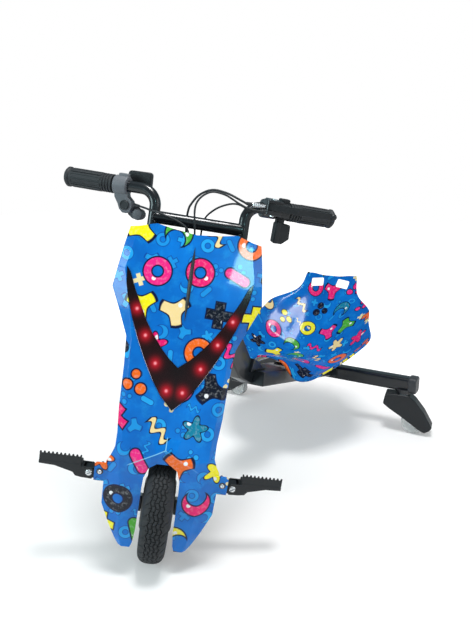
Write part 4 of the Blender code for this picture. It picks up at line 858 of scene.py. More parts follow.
half_crown = [(CROWN_HALF - 0.002, 0.17), (CROWN_HALF, 0.17), (CROWN_HALF, CROWN_HIGH)]
crown_outline = half_crown + [(-x, h) for x, h in reversed(half_crown)]
crown_outline += [(-CROWN_HALF + 0.002, CROWN_LOW), (CROWN_HALF - 0.002, CROWN_LOW)]
parts = [prism(crown_outline, -0.02, 0.02, AXIS_FRAME, edge=0.0005),
         rod(STEERER_R, CROWN_LOW + 0.004, STEERER_TOP, AXIS_FRAME, edge=0.0015)]
leg = rounded_outline([(-0.015, CROWN_HIGH - 0.004), (-0.015, -0.017), (0.015, -0.017),
                       (0.015, CROWN_HIGH - 0.004)], [0, 0.0145, 0.0145, 0], 8)
for side in (-1, 1):
    parts.append(prism(leg, *sorted((side * LEG_IN, side * LEG_OUT)), AXIS_FRAME, "YZ", 0.0012))
    parts.append(block(sorted((side * BOSS_IN, side * (LEG_IN + 0.001))), 0.012,
                       0.0145, AXIS_FRAME, 0.002, 3))
fork = cut(fused(*parts), rod(0.0063, -0.08, 0.08, framed(AXIS_FRAME)))
assemble("wheel_fork", fork, black_steel, "front_fork")

for name, low, high in (("lower_bearing", CROWN_HIGH + GAP, HEAD_LOW - GAP),
                        ("upper_bearing", HEAD_HIGH + GAP, HEAD_HIGH + 0.0075)):
    ring = rod(0.0225, low, high, AXIS_FRAME, hole=STEERER_R + GAP, edge=0.002)
    assemble(f"{name}_cup", ring, zinc_steel, name)
nut = cut(rod(0.0215, HEAD_HIGH + 0.0078, HEAD_HIGH + 0.018, AXIS_FRAME, 6, edge=0.0008),
          rod(STEERER_R + GAP, 0.3, 0.4, AXIS_FRAME))
assemble("steerer_nut", nut, black_steel, "headset_nut")


# Front wheel: a hub motor in a cast grey shell that is the rim too, its fixed axle clamped in the axle
# blocks by a nut and washer on each side, and an 8.5 x 2 inch pneumatic tyre with waved grooves.

TYRE_HALF, TYRE_MID = 0.026, 0.0815
GROOVES, GROOVE_DEPTH, LANE, ZIGZAG = 34, 0.0024, 0.0075, 0.0012

motor_grey = finish("motor_casting", {"Metallic": 0.4}, mottled(
    (30.0, 2.0), (0.05, 0.05, 0.055), (0.08, 0.08, 0.086), (0.38, 0.12), (700.0, 3.0, 0.6), 0.00015, 0.5))
# Black rubber, greyer where dust sits in its fine moulding grain
tyre_black = finish("tyre_rubber", {"Specular IOR Level": 0.4}, mottled(
    (35.0, 4.0, 0.6), (0.015, 0.0165, 0.019), (0.031, 0.0335, 0.037), (0.6, 0.16), (900.0, 3.0, 0.65),
    0.00018, 0.7))
wheel_line = framed(HOME, AXLE)
half_rim = [(0.0083, 0.03), (0.044, 0.03), (0.046, 0.0292), (0.054, 0.025), (0.059, 0.02),
            (0.06, 0.019), (0.064, 0.0215), (0.0712, 0.025), (0.0722, 0.0243), (0.0722, 0.0232),
            (0.0669, 0.019)]
rim = turned(half_rim + [(r, -x) for r, x in half_rim[::-1]], wheel_line, 96)
assemble("hub_motor_shell", rim, motor_grey, "hub_motor", "front_wheel")
cover_screws = [framed(wheel_line, axis="Z", angle=radians(60.0 * k + 15.0)) @ shift((0.038, 0.0, 0.03))
                for k in range(6)]
cover_screws += [framed(m, (0.0, 0.0, -0.06), "X", pi) for m in cover_screws]
studded("motor_cover_screws", button_screw(0.0034, 0.0006, 0.0012), cover_screws, zinc_steel,
        body="front_wheel")

# The tyre follows a rule: a sheet rolled up across into a closed section and round into a ring
ROUNDNESS = 0.74             # exponent of the section's squared-up sides
CROWN_RISE, BEAD_DROP = 0.0258, 0.0112           # from the section's middle to the tread and to the rim
TREAD_HALF = 0.015
SIPE_FROM, NICK_FROM, NICK_SLANT = 0.965, 0.7, 260.0     # sines over which cuts are made; radians per metre

tree, ports = group_of("tyre", "Tyre", Around="Int", Across="Int", Width="Float", Middle="Float",
                       Grooves="Float", Depth="Float", Finish="Material")
sheet = tree.node("GeometryNodeMeshGrid", None, {
    "Size X": 1.0, "Size Y": 1.0, "Vertices X": given(tree, "Around"),
    "Vertices Y": given(tree, "Across")}, "Mesh")
at = tree.node("GeometryNodeInputPosition")
spin, lean = (tree.axis(at, k) * (2 * pi) for k in range(2))
lean = lean - lean.maths("SINE") * 0.72         # most of the points lie under the tread
cosine, sine = lean.maths("COSINE"), lean.maths("SINE")
outward = cosine.maths("GREATER_THAN", 0.0)
squared_up = abs(cosine).maths("POWER", ROUNDNESS) * (outward * (CROWN_RISE - BEAD_DROP) + BEAD_DROP)
reach = squared_up * (outward * 2.0 - 1.0)
width = abs(sine).maths("POWER", ROUNDNESS) * sine.maths("SIGN") * given(tree, "Width")
phase = spin * given(tree, "Grooves")
zigzag = width - phase.maths("SINE").maths("ARCSINE") * ZIGZAG
on_tread = abs(width).below(TREAD_HALF, 0.0005) * outward
lane = (LANE / 2 - zigzag.maths("PINGPONG", LANE / 2)).below(0.0006, 0.0006)
column = (zigzag / LANE + 0.5).maths("FLOOR")
sipe = abs((phase + column * (pi / 2)).maths("SINE")).maths("GREATER_THAN", SIPE_FROM) * 0.75
nick = (phase + width * NICK_SLANT).maths("SINE").maths("GREATER_THAN", NICK_FROM)
shoulder = nick * (abs(width) - (TREAD_HALF + 0.0005)).maths("GREATER_THAN", 0.0) * outward
tread = (lane.most(sipe) * on_tread).most(shoulder * 0.7)
radius = given(tree, "Middle") + reach - tread * given(tree, "Depth") * (squared_up * 46.0).least(1.0)
spot = tree.node("ShaderNodeCombineXYZ", None, {
    0: width, 1: radius * spin.maths("COSINE"), 2: radius * spin.maths("SINE")})
rolled = tree.node("GeometryNodeSetPosition", None, {"Geometry": sheet, "Position": spot})
close_group(tree, "Tyre", tree.node(
    "GeometryNodeMergeByDistance", None, {"Geometry": rolled, "Distance": 0.00002}))
tyre = as_shape(grown("tyre_sheet", bpy.data.meshes.new("tyre_sheet"), tree, ports, Around=681, Across=129,
                      Width=TYRE_HALF, Middle=TYRE_MID, Grooves=float(GROOVES), Depth=GROOVE_DEPTH,
                      Finish=tyre_black))
bmesh.ops.translate(tyre, verts=tyre.verts, vec=AXLE)
assemble("pneumatic_tyre", tyre, tyre_black, "front_tyre", "front_wheel", smooth=60.0)

fork_line = framed(AXIS_FRAME)
shoulder_x = BOSS_IN - GAP
half_axle = [(0.0, 0.074), (0.0052, 0.074), (0.006, 0.0732), (0.006, shoulder_x), (0.008, shoulder_x)]
axle = turned([(r, -x) for r, x in half_axle] + half_axle[::-1], fork_line)
assemble("fixed_axle", axle, zinc_steel, "front_axle")
for side, word in SIDES:
    ends = sorted((side * (LEG_OUT + GAP), side * (LEG_OUT + 0.0085)))
    nut = cut(rod(0.0105, *ends, fork_line, 6, edge=0.0007), rod(0.0063, -0.08, 0.08, fork_line))
    assemble(f"hex_nut_{word}", nut, zinc_steel, f"axle_nut_{word}")


# Foot pegs: moulded folding pegs with an upright toothed lip along the front, hinged on slotted screws
# through steel brackets on the fork legs; each bracket's upright plate also holds the fairing's ear.

PEG_PIN = Vector((0.136, 0.002, 0.1645))
TEETH, TEETH_FROM, TEETH_TO = 11, 0.0155, 0.0925
CREST, ROOT = 0.032, 0.028
PEG_DECK = [(0.0155, 0.015), (0.093, 0.015), (0.093, 0.0075), (0.064, 0.006), (0.03, -0.0035),
            (0.025, -0.0105), (0.013, -0.0125), (-0.006, -0.0135), (-0.0085, -0.0085), (-0.0085, 0.005),
            (-0.005, 0.0095), (0.0145, 0.0095)]
pitch = (TEETH_TO - TEETH_FROM) / (TEETH - 0.65)
peg_teeth = []
for k in range(TEETH):
    x = TEETH_FROM + k * pitch
    peg_teeth += [(x, CREST), (x + 0.35 * pitch, CREST)]
    if k < TEETH - 1:
        peg_teeth += [(x + 0.52 * pitch, ROOT), (x + 0.83 * pitch, ROOT)]
peg_teeth += [(TEETH_TO, 0.011), (TEETH_FROM, 0.011)]
ARM = [(-0.0757, 0.004), (-0.0757, 0.032), (-0.05, 0.032), (-0.01, 0.01), (-0.01, -0.012), (-0.045, -0.012)]
PLATE = [(-0.0402, 0.012), (-0.0402, 0.04), (-0.034, 0.04), (0.0095, 0.006), (0.0095, -0.013),
         (-0.008, -0.013)]
KNUCKLE = [(-0.02, -0.013), (0.0085, -0.013), (0.0085, 0.0085), (-0.02, 0.0085)]
RIB = [(-0.0735, 0.026), (-0.0735, -0.012), (-0.022, -0.012), (-0.022, 0.004)]


def slotted_screw(radius, height):
    """Domed screw with a straight slot, its seat at z = 0."""
    head = turned([(0.0, 0.0), (radius, 0.0), (radius, height * 0.3), (radius * 0.8, height * 0.75),
                   (radius * 0.45, height * 0.97), (0.0, height)], HOME, 32)
    return cut(head, block((-radius * 1.2, radius * 1.2), (-radius * 0.19, radius * 0.19),
                           (height * 0.25, height * 1.5), edge=0.0))


for side, word in SIDES:
    pin = (side * PEG_PIN.x, PEG_PIN.y, PEG_PIN.z)
    flip, pin_line = shift(pin) @ Matrix.Scale(side, 4, (1, 0, 0)), framed(HOME, pin, "X")
    peg = cut(fused(prism(PEG_DECK, -0.012, 0.012, flip, edge=0.0009, steps=3),
                    prism(peg_teeth, -0.0115, -0.0075, flip, edge=0.0005)),
              block((-0.02, 0.0115), 0.0088, 0.03, flip),
              block((0.034, 0.06), 0.008, (-0.02, 0.0105), flip, 0.001),
              block((0.064, 0.089), 0.008, (-0.02, 0.0105), flip, 0.001),
              rod(0.0043, -0.04, 0.04, pin_line, 24))
    assemble(f"toothed_peg_{word}", peg, black_plastic, f"foot_peg_{word}", f"{word}_peg")
    bracket = fused(prism(ARM, -0.015, -0.011, flip, "XY", 0.0004),
                    prism(rounded_outline(KNUCKLE, [0, 0.0055, 0.0055, 0.003], 6), -0.0085, 0.0085, flip,
                          edge=0.0006),
                    block((-0.0757, -0.0717), (0.005, 0.031), (-0.0145, 0.028), flip, 0.0004),
                    prism(PLATE, -0.0285, -0.025, flip, "YZ", 0.0004),
                    block((-0.026, -0.017), (-0.0402, -0.0367), (0.012, 0.04), flip, 0.0004),
                    prism(RIB, 0.0065, 0.0095, flip, edge=0.0004))
    bracket = cut(bracket, rod(0.0043, -0.04, 0.04, pin_line, 24))
    assemble(f"peg_mount_{word}", bracket, black_steel, f"peg_bracket_{word}")
    slot_head = slotted_screw(0.0064, 0.0036)
    seated = framed(pin_line, (0.0, 0.0, 0.0121), "Z", 0.6)
    bmesh.ops.transform(slot_head, matrix=seated, verts=slot_head.verts)
    screw = fused(rod(0.004, -0.0165, 0.0125, pin_line, 24), slot_head,
                  rod(0.0068, -0.016, -0.0123, pin_line, 6, edge=0.0004))
    assemble(f"hinge_screw_{word}", screw, zinc_steel, f"peg_screw_{word}")


# Fairing: a 3 mm moulded shell with flat facets, split below into a leg on each side of the wheel and
# hung on ears screwed to the peg brackets. Its face and the upper side walls are printed like the seat,
# the lower side walls and the inside are plain black.

FACE_TILT = radians(20.5)
FACE_TOP = Vector((0.0, 0.09, 0.617))
FACE_FRAME = framed(HOME, FACE_TOP, "X", -FACE_TILT)
SHELL, WASHER_T = 0.003, 0.0009
CUT_GAP = 0.0004             # round what is set in the face
CORNER_ROUND = 0.018         # the print turns onto the side walls this far behind the face
WRAP, WRAP_LOW = 0.02, 0.43  # and ends WRAP behind it below the height WRAP_LOW
# Rows from the top down: height, inner column, middle column, crease, edge (half widths), how far the
# edge lies behind the face, and how far back the side wall reaches
FAIRING_ROWS = [
    (0.62, 0.045, 0.075, 0.106, 0.123, 0.008, 0.188),
    (0.585, 0.045, 0.078, 0.112, 0.129, 0.01, 0.184),
    (0.545, 0.045, 0.08, 0.12, 0.135, 0.012, 0.176),
    (0.508, 0.044, 0.076, 0.11, 0.14, 0.016, 0.167),
    (0.47, 0.042, 0.07, 0.1, 0.121, 0.014, 0.157),
    (0.428, 0.04, 0.066, 0.09, 0.101, 0.01, 0.14),
    (0.38, 0.038, 0.062, 0.087, 0.097, 0.009, 0.105),
    (0.31, 0.034, 0.056, 0.083, 0.0945, 0.009, 0.085),
    (0.266, 0.026, 0.052, 0.08, 0.0905, 0.009, 0.02),
    (0.242, 0.016, 0.04, 0.079, 0.0905, 0.01, -0.015),
    (0.2245, 0.012, 0.0465, 0.079, 0.0965, 0.011, -0.03),
    (0.214, 0.0258, 0.0625, 0.079, 0.1025, 0.012, -0.034),
    (0.195, 0.0326, 0.052, 0.076, 0.1048, 0.013, -0.036),
    (0.175, 0.0336, 0.053, 0.072, 0.104, 0.013, -0.038),
    (0.13, 0.034, 0.052, 0.069, 0.1025, 0.013, -0.042),
    (0.0935, 0.0345, 0.05, 0.066, 0.0856, 0.011, -0.046),
    (0.0685, 0.037, 0.047, 0.06, 0.0715, 0.009, -0.05),
    (0.058, 0.0405, 0.047, 0.056, 0.0635, 0.007, -0.052),
]
# Rows that aren't level, and how far points stand forward: the top edge, and the nose over the wheel,
# a peak with a ridge up from it and one out to each side
ROW_HEIGHTS = {0.62: (0.62, 0.625, 0.63, 0.621, 0.617), 0.266: (0.2715, 0.269, 0.268, 0.266, 0.266),
               0.242: (0.2515, 0.2422, 0.2283, 0.238, 0.24)}
ROW_FORWARD = {0.242: (0.004, 0.0032, 0.002, 0.0, 0.0), 0.2245: (0.001, 0.0012, 0.0014, 0.0, 0.0),
               0.214: (0.0, 0.0, 0.0005, 0.0, 0.0)}
WALL_TOP = 0.594
BROW_Z, ARCH_Z, LEG_TILT = 0.242, 0.2245, radians(6.0)
LAMP_OUTER = [(0.0, 0.3162), (0.024, 0.3395), (0.0425, 0.3645), (0.0605, 0.3945), (0.0785, 0.4285),
              (0.095, 0.465), (0.1075, 0.4985), (0.1135, 0.52), (0.117, 0.549)]
LAMP_INNER = [(0.1095, 0.5405), (0.097, 0.513), (0.082, 0.486), (0.069, 0.463), (0.0515, 0.438),
              (0.031, 0.415), (0.019, 0.4035), (0.0, 0.389)]
TRIM = [(0.0, -0.02), (0.0026, -0.048), (0.0033, -0.085), (0.0026, -0.125), (0.0, -0.158),
        (-0.0026, -0.125), (-0.0033, -0.085), (-0.0026, -0.048)]
EAR_SCREW = (0.1115, 0.192)
EAR = [(0.0965, 0.1735), (0.1215, 0.1735), (0.1215, 0.2095), (0.0965, 0.2095)]


def face_y(z):
    """Front face: one plane down to the brow over the wheel, then steeper down the legs."""
    if z >= BROW_Z:
        return FACE_TOP.y + (z - FACE_TOP.z) * tan(FACE_TILT)
    return face_y(BROW_Z) + (z - BROW_Z) * tan(LEG_TILT)


def lamp_outline(grow=0.0):
    """The V of the lamp on the face, (x, up the face) from its top point, its edge moved out by grow."""
    right = [(x, (z - FACE_TOP.z) / cos(FACE_TILT)) for x, z in LAMP_OUTER + LAMP_INNER]
    ring = right + [(-x, s) for x, s in reversed(right[1:-1])]
    if not grow:
        return ring
    points, grown = [Vector(point) for point in ring], []
    afters = points[1:] + points[:1]
    turn = copysign(1.0, sum(a.x * b.y - b.x * a.y for a, b in zip(points, afters)))
    for before, here, after in zip(points[-1:] + points[:-1], points, afters):
        out_a, out_b = (Vector((way.y, -way.x)).normalized() * turn for way in (here - before, after - here))
        out = (out_a + out_b).normalized()
        grown.append(tuple(here + out * grow / max(0.35, out.dot(out_a))))
    return grown


def fairing_print(point):
    """Up the face, and round the corner onto the side walls."""
    round_corner = max(0.0, point.y - face_y(point.z) - CORNER_ROUND)
    return Vector((point.x + copysign(round_corner, point.x) + PRINT_SHIFT[0],
                   point.z * PRINT_TALL + PRINT_SHIFT[1], 1.0))


shell = bmesh.new()
halves = []
for mirror in (1, -1):
    rows = []
    for k, (z, inner, middle, crease, edge, step, back) in enumerate(FAIRING_ROWS):
        heights, forward = ROW_HEIGHTS.get(z, (z,) * 5), ROW_FORWARD.get(z, (0.0,) * 5)
        points = [Vector((x, face_y(h) - f, h))
                  for x, h, f in zip((0.0, inner, middle, crease), heights, forward)]
        brim = Vector((edge, face_y(heights[4]) + step, heights[4]))
        points += [brim, Vector((edge - 0.002, max(back, brim.y + 0.006), z if k else WALL_TOP))]
        rows.append([shell.verts.new((p.x * mirror, p.y, p.z)) for p in points])
    halves.append(rows)
brow = next(k for k, row in enumerate(FAIRING_ROWS) if row[0] < ARCH_Z + 0.0001)
for rows, mirror in zip(halves, (1, -1)):
    for k, (a, b) in enumerate(zip(rows, rows[1:])):
        for i in range(len(a) - 1):
            if k < brow or i > 0:
                corners = (a[i], b[i], b[i + 1], a[i + 1])
                shell.faces.new(corners if mirror > 0 else tuple(reversed(corners)))
bmesh.ops.remove_doubles(shell, verts=shell.verts, dist=1e-5)
bmesh.ops.delete(shell, geom=[v for v in shell.verts if not v.link_faces], context="VERTS")
bmesh.ops.recalc_face_normals(shell, faces=shell.faces)
if sum(f.normal.y for f in shell.faces if abs(f.normal.y) > 0.5) > 0:
    bmesh.ops.reverse_faces(shell, faces=shell.faces)
bmesh.ops.dissolve_limit(shell, angle_limit=radians(1.0), verts=shell.verts, edges=shell.edges)
shell = softened(shell, 0.0022, 4, 4.0)
bmesh.ops.solidify(shell, geom=shell.faces[:], thickness=SHELL)
shell = softened(shell, 0.0007, 2, 60.0)
ear_y = face_y(EAR_SCREW[1]) + 0.0095
for side in (-1, 1):
    ear = rounded_outline([(side * x, z) for x, z in EAR], [0, 0.002, 0.005, 0], 5)
    shell = fused(shell, prism(ear, ear_y, ear_y + SHELL, edge=0.0005))
wide_trim = [((x + copysign(CUT_GAP, x) if x else 0.0) * 1.05, s + (CUT_GAP if s > -0.085 else -CUT_GAP) * 2)
             for x, s in TRIM]
shell = cut(shell, prism(lamp_outline(CUT_GAP), -0.012, 0.012, FACE_FRAME, edge=0.0),
            prism(wide_trim, -0.012, 0.012, FACE_FRAME, edge=0.0))
fairing = assemble("fairing_shell", shell, printed_shell, "front_fairing", smooth=20.0, mapped=fairing_print)
fairing.data.materials.append(black_plastic)
inward = STEERED.to_3x3() @ Vector((0.0, 1.0, 0.0))
for face in fairing.data.polygons:
    local = STEERED.inverted() @ face.center
    if face.normal.dot(inward) > 0.25 or (local.z < WRAP_LOW and local.y > face_y(local.z) + WRAP):
        face.material_index = 1

ear_places = [framed(HOME, (side * EAR_SCREW[0], ear_y - 0.0001, EAR_SCREW[1]), "X") for side in (-1, 1)]
studded("ear_washers", rod(0.0062, 0.0, WASHER_T, sides=32, edge=0.0003), ear_places, black_steel)
ear_places = [place @ shift((0.0, 0.0, WASHER_T)) for place in ear_places]
studded("ear_screws", button_screw(0.004, 0.0028, 0.0014), ear_places, zinc_steel)


# Lamp: a smoked V of acrylic flush in the face, eight red lamps on a board behind it, and a black
# moulded spindle set in the face above it.

LED_SPOTS = ((0.0878, 0.48), (0.066, 0.437), (0.0412, 0.3925), (0.0146, 0.349))
GLOW_RED, GLOW_CORE = (0.75, 0.006, 0.025), (1.0, 0.42, 0.48)
GLOW_AREA, HAZE_AREA, CORE_AREA = 0.00008, 0.0005, 0.000006      # how far each part of a glow spreads, in m2


def smoked_acrylic(tree):
    """Dark red-brown see-through acrylic with the glow of each lamp behind it."""
    spot = tree.printed()
    across_face, up_face = abs(tree.axis(spot, 0)), tree.axis(spot, 1)
    glow, core = 0.0, 0.0
    for x, z in LED_SPOTS:
        dx, dz = across_face - x, up_face - z
        spread = (dx * dx + dz * dz) * -1.0
        near, haze = ((spread / area).maths("EXPONENT") for area in (GLOW_AREA, HAZE_AREA))
        glow = near * 0.7 + haze * 0.022 + glow
        core = (spread / CORE_AREA).maths("EXPONENT") + core
    tint = tree.noise(40.0, 3.0)
    light = tree.blend(core.least(1.0), GLOW_RED, GLOW_CORE)
    lit = tree.blend((glow + core).least(1.0), (0.0, 0.0, 0.0), light)
    return {"Base Color": tree.blend(tint, (0.0045, 0.0025, 0.003), (0.009, 0.004, 0.0045)),
            "Roughness": tint * 0.05 + 0.1, "Emission Color": lit,
            "Alpha": tint * 0.03 + 0.95}


def lens_spot(point):
    return Vector((point.x, point.z, 0.0))


smoked_lens = finish("smoked_acrylic", {
    "Specular IOR Level": 0.3, "Coat Weight": 0.4, "Coat Roughness": 0.03, "Emission Strength": 1.0},
    smoked_acrylic)
lens = prism(lamp_outline(), -0.0018, 0.0012, FACE_FRAME, edge=0.0)
bmesh.ops.subdivide_edges(lens, edges=[e for e in lens.edges if e.calc_length() > 0.02], cuts=3)
lens = softened(lens, 0.0006, 2, 50.0)
assemble("v_lens", lens, smoked_lens, "lamp_lens", smooth=30.0, mapped=lens_spot)
lamp_red = finish("lamp_board_red", {}, mottled(
    (300.0, 2.0), (0.3, 0.012, 0.015), (0.5, 0.02, 0.03), (0.3, 0.2)))
board = prism(lamp_outline(), 0.0032, 0.0055, FACE_FRAME, edge=0.0003)
for x, z in LED_SPOTS:
    for side in (-1, 1):
        spot = framed(FACE_FRAME, (side * x, 0.0, (z - FACE_TOP.z) / cos(FACE_TILT)), "X")
        board = fused(board, rod(0.0026, -0.0035, -0.0015, spot, 20, edge=0.0008))
assemble("red_lamp_board", board, lamp_red, "lamp_board")
spindle = prism(TRIM, -0.0015, SHELL + 0.002, FACE_FRAME, edge=0.0)
front = [f for f in spindle.faces if f.normal.y < -0.7]
ridge = bmesh.ops.poke(spindle, faces=front)["verts"]
for vertex in ridge:
    vertex.co += FACE_FRAME.to_3x3() @ Vector((0.0, -0.0024, 0.0))
# A faint painted sheen lightens the spindle's black
assemble("face_spindle", spindle, black_plastic, "centre_trim", smooth=20.0, mapped=painted_sheen(0.05))


# Behind the fairing: a black cover with the charge socket and its rubber cap, the motor controller's
# aluminium box on the fork crown, and the battery pack in its blue shrink sleeve on top of it.

# Glossy shrink sleeve, a little wrinkled
battery_blue = finish("blue_shrink_sleeve", {}, mottled(
    (60.0, 4.0, 0.6), (0.02, 0.075, 0.28), (0.035, 0.11, 0.36), (0.25, 0.15), (60.0, 4.0, 0.6), 0.001, 0.3))
# Drawn aluminium with fine lines
aluminium = finish("drawn_aluminium", {"Metallic": 1.0}, mottled(
    (25.0, 2.0), (0.52, 0.53, 0.55), (0.62, 0.63, 0.64), (0.3, 0.1), (500.0, 2.0, 0.5), 0.00006, 0.5))
# Matt black rubber
black_rubber = finish("soft_black_rubber", {"Specular IOR Level": 0.4}, mottled(
    (30.0, 3.0), (0.024, 0.027, 0.03), (0.033, 0.0365, 0.0405), (0.5, 0.12), (1300.0, 2.0, 0.6),
    0.0001, 0.6))


def aim(origin, direction):
    """A frame at origin whose z axis runs along direction."""
    z = Vector(direction).normalized()
    x = Vector((0, 0, 1)).cross(z)
    x = x.normalized() if x.length > 1e-4 else Vector((1, 0, 0))
    made = Matrix((x, z.cross(x), z)).transposed().to_4x4()
    made.translation = Vector(origin)
    return made


SOCKET = aim((0.0, 0.1757, 0.527), (0.0, 0.972, -0.236))
cover_lines = []
for top, _, _, _, edge, _, back in FAIRING_ROWS[:6]:
    z, half = min(top, WALL_TOP - 0.002), edge - 0.002 - SHELL - 0.0005
    cover_lines.append([(-half, back - 0.014, z), (-half + 0.001, back - 0.002, z), (-0.055, back + 0.004, z),
                        (0.055, back + 0.004, z), (half - 0.001, back - 0.002, z), (half, back - 0.014, z)])
cover, _ = sheet_of(cover_lines, (0.0, 1.0, 0.0))
cover = softened(cover, 0.002, 3, 10.0)
bmesh.ops.solidify(cover, geom=cover.faces[:], thickness=SHELL)
cover = cut(softened(cover, 0.0006, 2, 60.0), rod(0.0092, -0.05, 0.05, SOCKET))
assemble("back_cover", cover, black_plastic, "rear_cover", smooth=30.0)
socket = fused(rod(0.0088, -0.02, 0.0022, SOCKET), rod(0.012, 0.0016, 0.0042, SOCKET, edge=0.0008),
               block(0.0045, (-0.0175, -0.0095), (0.0019, 0.0034), SOCKET, 0.0003))
assemble("socket_body", cut(socket, rod(0.006, -0.01, 0.01, SOCKET)), black_plastic, "charge_socket")
cap = fused(rod(0.0118, 0.0046, 0.0066, SOCKET, edge=0.0008),
            block(0.004, (-0.0165, -0.008), (0.0046, 0.0066), SOCKET, 0.0003))
assemble("socket_cap", cap, black_rubber, "charge_cap", "charge_flap")
case = block(0.042, (-0.0455, -0.024), (CROWN_HIGH + GAP, 0.295), AXIS_FRAME, 0.0025, 3)
assemble("controller_case", case, aluminium, "motor_controller")
pack = block(0.072, (-0.05, -0.024), (0.2953, 0.452), AXIS_FRAME, 0.004, 3)
assemble("sleeved_battery", pack, battery_blue, "battery_pack")


# Handlebar: one bent 22 mm steel tube with a crossbar welded in, powder-coated, held behind the
# steerer by a bolted stem clamp.

BAR_R = 0.011
BAR_LOW_Y, BAR_LOW_Z, BAR_RISER_X = 0.14, 0.48, 0.09
BAR_CORNER, BAR_END = Vector((0.088, 0.172, 0.6815)), Vector((0.2694, 0.2317, 0.677))
BAR_START = BAR_CORNER.lerp(BAR_END, 0.204)
BAR_LENGTH = (BAR_END - BAR_START).length
CROSSBAR_Z, CROSSBAR_R = 0.6325, 0.0125


def bar_frame(side):
    """On each side of the bar: x outwards along the tube, y backwards, z up."""
    outwards = (BAR_END - BAR_CORNER).normalized()
    back = Vector((-outwards.y, outwards.x, 0.0)).normalized()
    made = Matrix((outwards, back, outwards.cross(back))).transposed().to_4x4()
    made.translation = BAR_START
    return Matrix.Scale(side, 4, (1, 0, 0)) @ made


def rounded_route(corners, radii):
    """Points along a bent tube: straight runs joined by arcs of the given radii."""
    steps, points = 14, [corners[0]]
    for before, corner, after, radius in zip(corners, corners[1:], corners[2:], radii):
        u, v = (before - corner).normalized(), (after - corner).normalized()
        half = u.angle(v) / 2
        centre = corner + (u + v).normalized() * radius / sin(half)
        start, end = (corner + way * radius / tan(half) - centre for way in (u, v))
        turn = start.angle(end)
        points += [centre + (start * sin((1 - i / steps) * turn) + end * sin(i / steps * turn)) / sin(turn)
                   for i in range(steps + 1)]
    return points + [corners[-1]]


def swept(points, radii, sides=40):
    """A closed tube along points; radii is one value or one for each point."""
    radii = radii if isinstance(radii, (list, tuple)) else [radii] * len(points)
    shape = bmesh.new()
    rings, previous = [], None
    for k, (point, radius) in enumerate(zip(points, radii)):
        ahead_of, behind = points[min(k + 1, len(points) - 1)], points[max(k - 1, 0)]
        way = (ahead_of - behind).normalized()
        side = (previous - way * previous.dot(way) if previous else way.orthogonal()).normalized()
        previous = side
        other = way.cross(side)
        rings.append([shape.verts.new(point + radius * (cos(2 * pi * i / sides) * side
                                                        + sin(2 * pi * i / sides) * other))
                      for i in range(sides)])
    for a, b in zip(rings, rings[1:]):
        for i in range(sides):
            shape.faces.new((a[i], a[(i + 1) % sides], b[(i + 1) % sides], b[i]))
    shape.faces.new(list(reversed(rings[0])))
    shape.faces.new(rings[-1])
    bmesh.ops.recalc_face_normals(shape, faces=shape.faces)
    return shape


bar_low, riser_foot = Vector((0.0, BAR_LOW_Y, BAR_LOW_Z)), Vector((BAR_RISER_X, BAR_LOW_Y, BAR_LOW_Z))
tube = swept(both_sides(rounded_route([bar_low, riser_foot, BAR_CORNER, BAR_END], (0.03, 0.032))), BAR_R)
share = (CROSSBAR_Z - BAR_LOW_Z) / (BAR_CORNER.z - BAR_LOW_Z)
cross_y = BAR_LOW_Y + (BAR_CORNER.y - BAR_LOW_Y) * share
crossbar = swept([Vector((x, cross_y, CROSSBAR_Z)) for x in (-0.088, 0.088)], CROSSBAR_R)
assemble("bent_handlebar", fused(tube, crossbar), black_steel, "handlebar")
riser_lean = (BAR_CORNER - riser_foot).normalized()
seams = []
for side in (-1, 1):
    for k in range(46):
        y, z = CROSSBAR_R * cos(2 * pi * k / 46), CROSSBAR_R * sin(2 * pi * k / 46)
        x = sqrt(max(0.0, BAR_R ** 2 - min(abs(y), BAR_R) ** 2))
        seams.append(shift((side * (0.0888 - x * 0.86), cross_y + y + riser_lean.y * z, CROSSBAR_Z + z)))
weld("crossbar_welds", seams)

stem_at = AXIS_FRAME.inverted() @ bar_low
body = block(0.024, (-0.022, stem_at.y + 0.017), (stem_at.z - 0.016, stem_at.z + 0.016), AXIS_FRAME,
             0.004, 3)
body = cut(body, rod(STEERER_R + GAP, 0.3, 0.5, AXIS_FRAME, edge=0.0),
           rod(BAR_R + GAP, -0.05, 0.05, framed(HOME, bar_low), edge=0.0))
assemble("bar_clamp", body, black_steel, "stem_clamp")
clamp_bolts = [framed(AXIS_FRAME, (x, stem_at.y + 0.0172, stem_at.z + z), "X", -pi / 2)
               for x in (-0.016, 0.016) for z in (-0.009, 0.009)]
studded("clamp_bolts", button_screw(0.0042, 0.0028, 0.0017), clamp_bolts, zinc_steel)


# Grips: moulded rubber sleeves pushed on the tube, with rings at the inner end, long raised ovals and a
# low flange round the closed outer end.

GRIP_FROM, GRIP_R, GRIP_CORE, FLANGE_R = 0.0535, 0.0185, 0.0165, 0.0198
GRIP_OVALS = 9


def ring_of(line, count, point, side):
    """Places round a line, each turned to face away from it. The right bar's mirrored frame is
    unmirrored, so that a place is a turn and a shift only."""
    places = [framed(line, axis="Z", angle=2 * pi * k / count) @ shift(point) for k in range(count)]
    return [place @ Matrix.Scale(side, 4, (1, 0, 0)) for place in places]


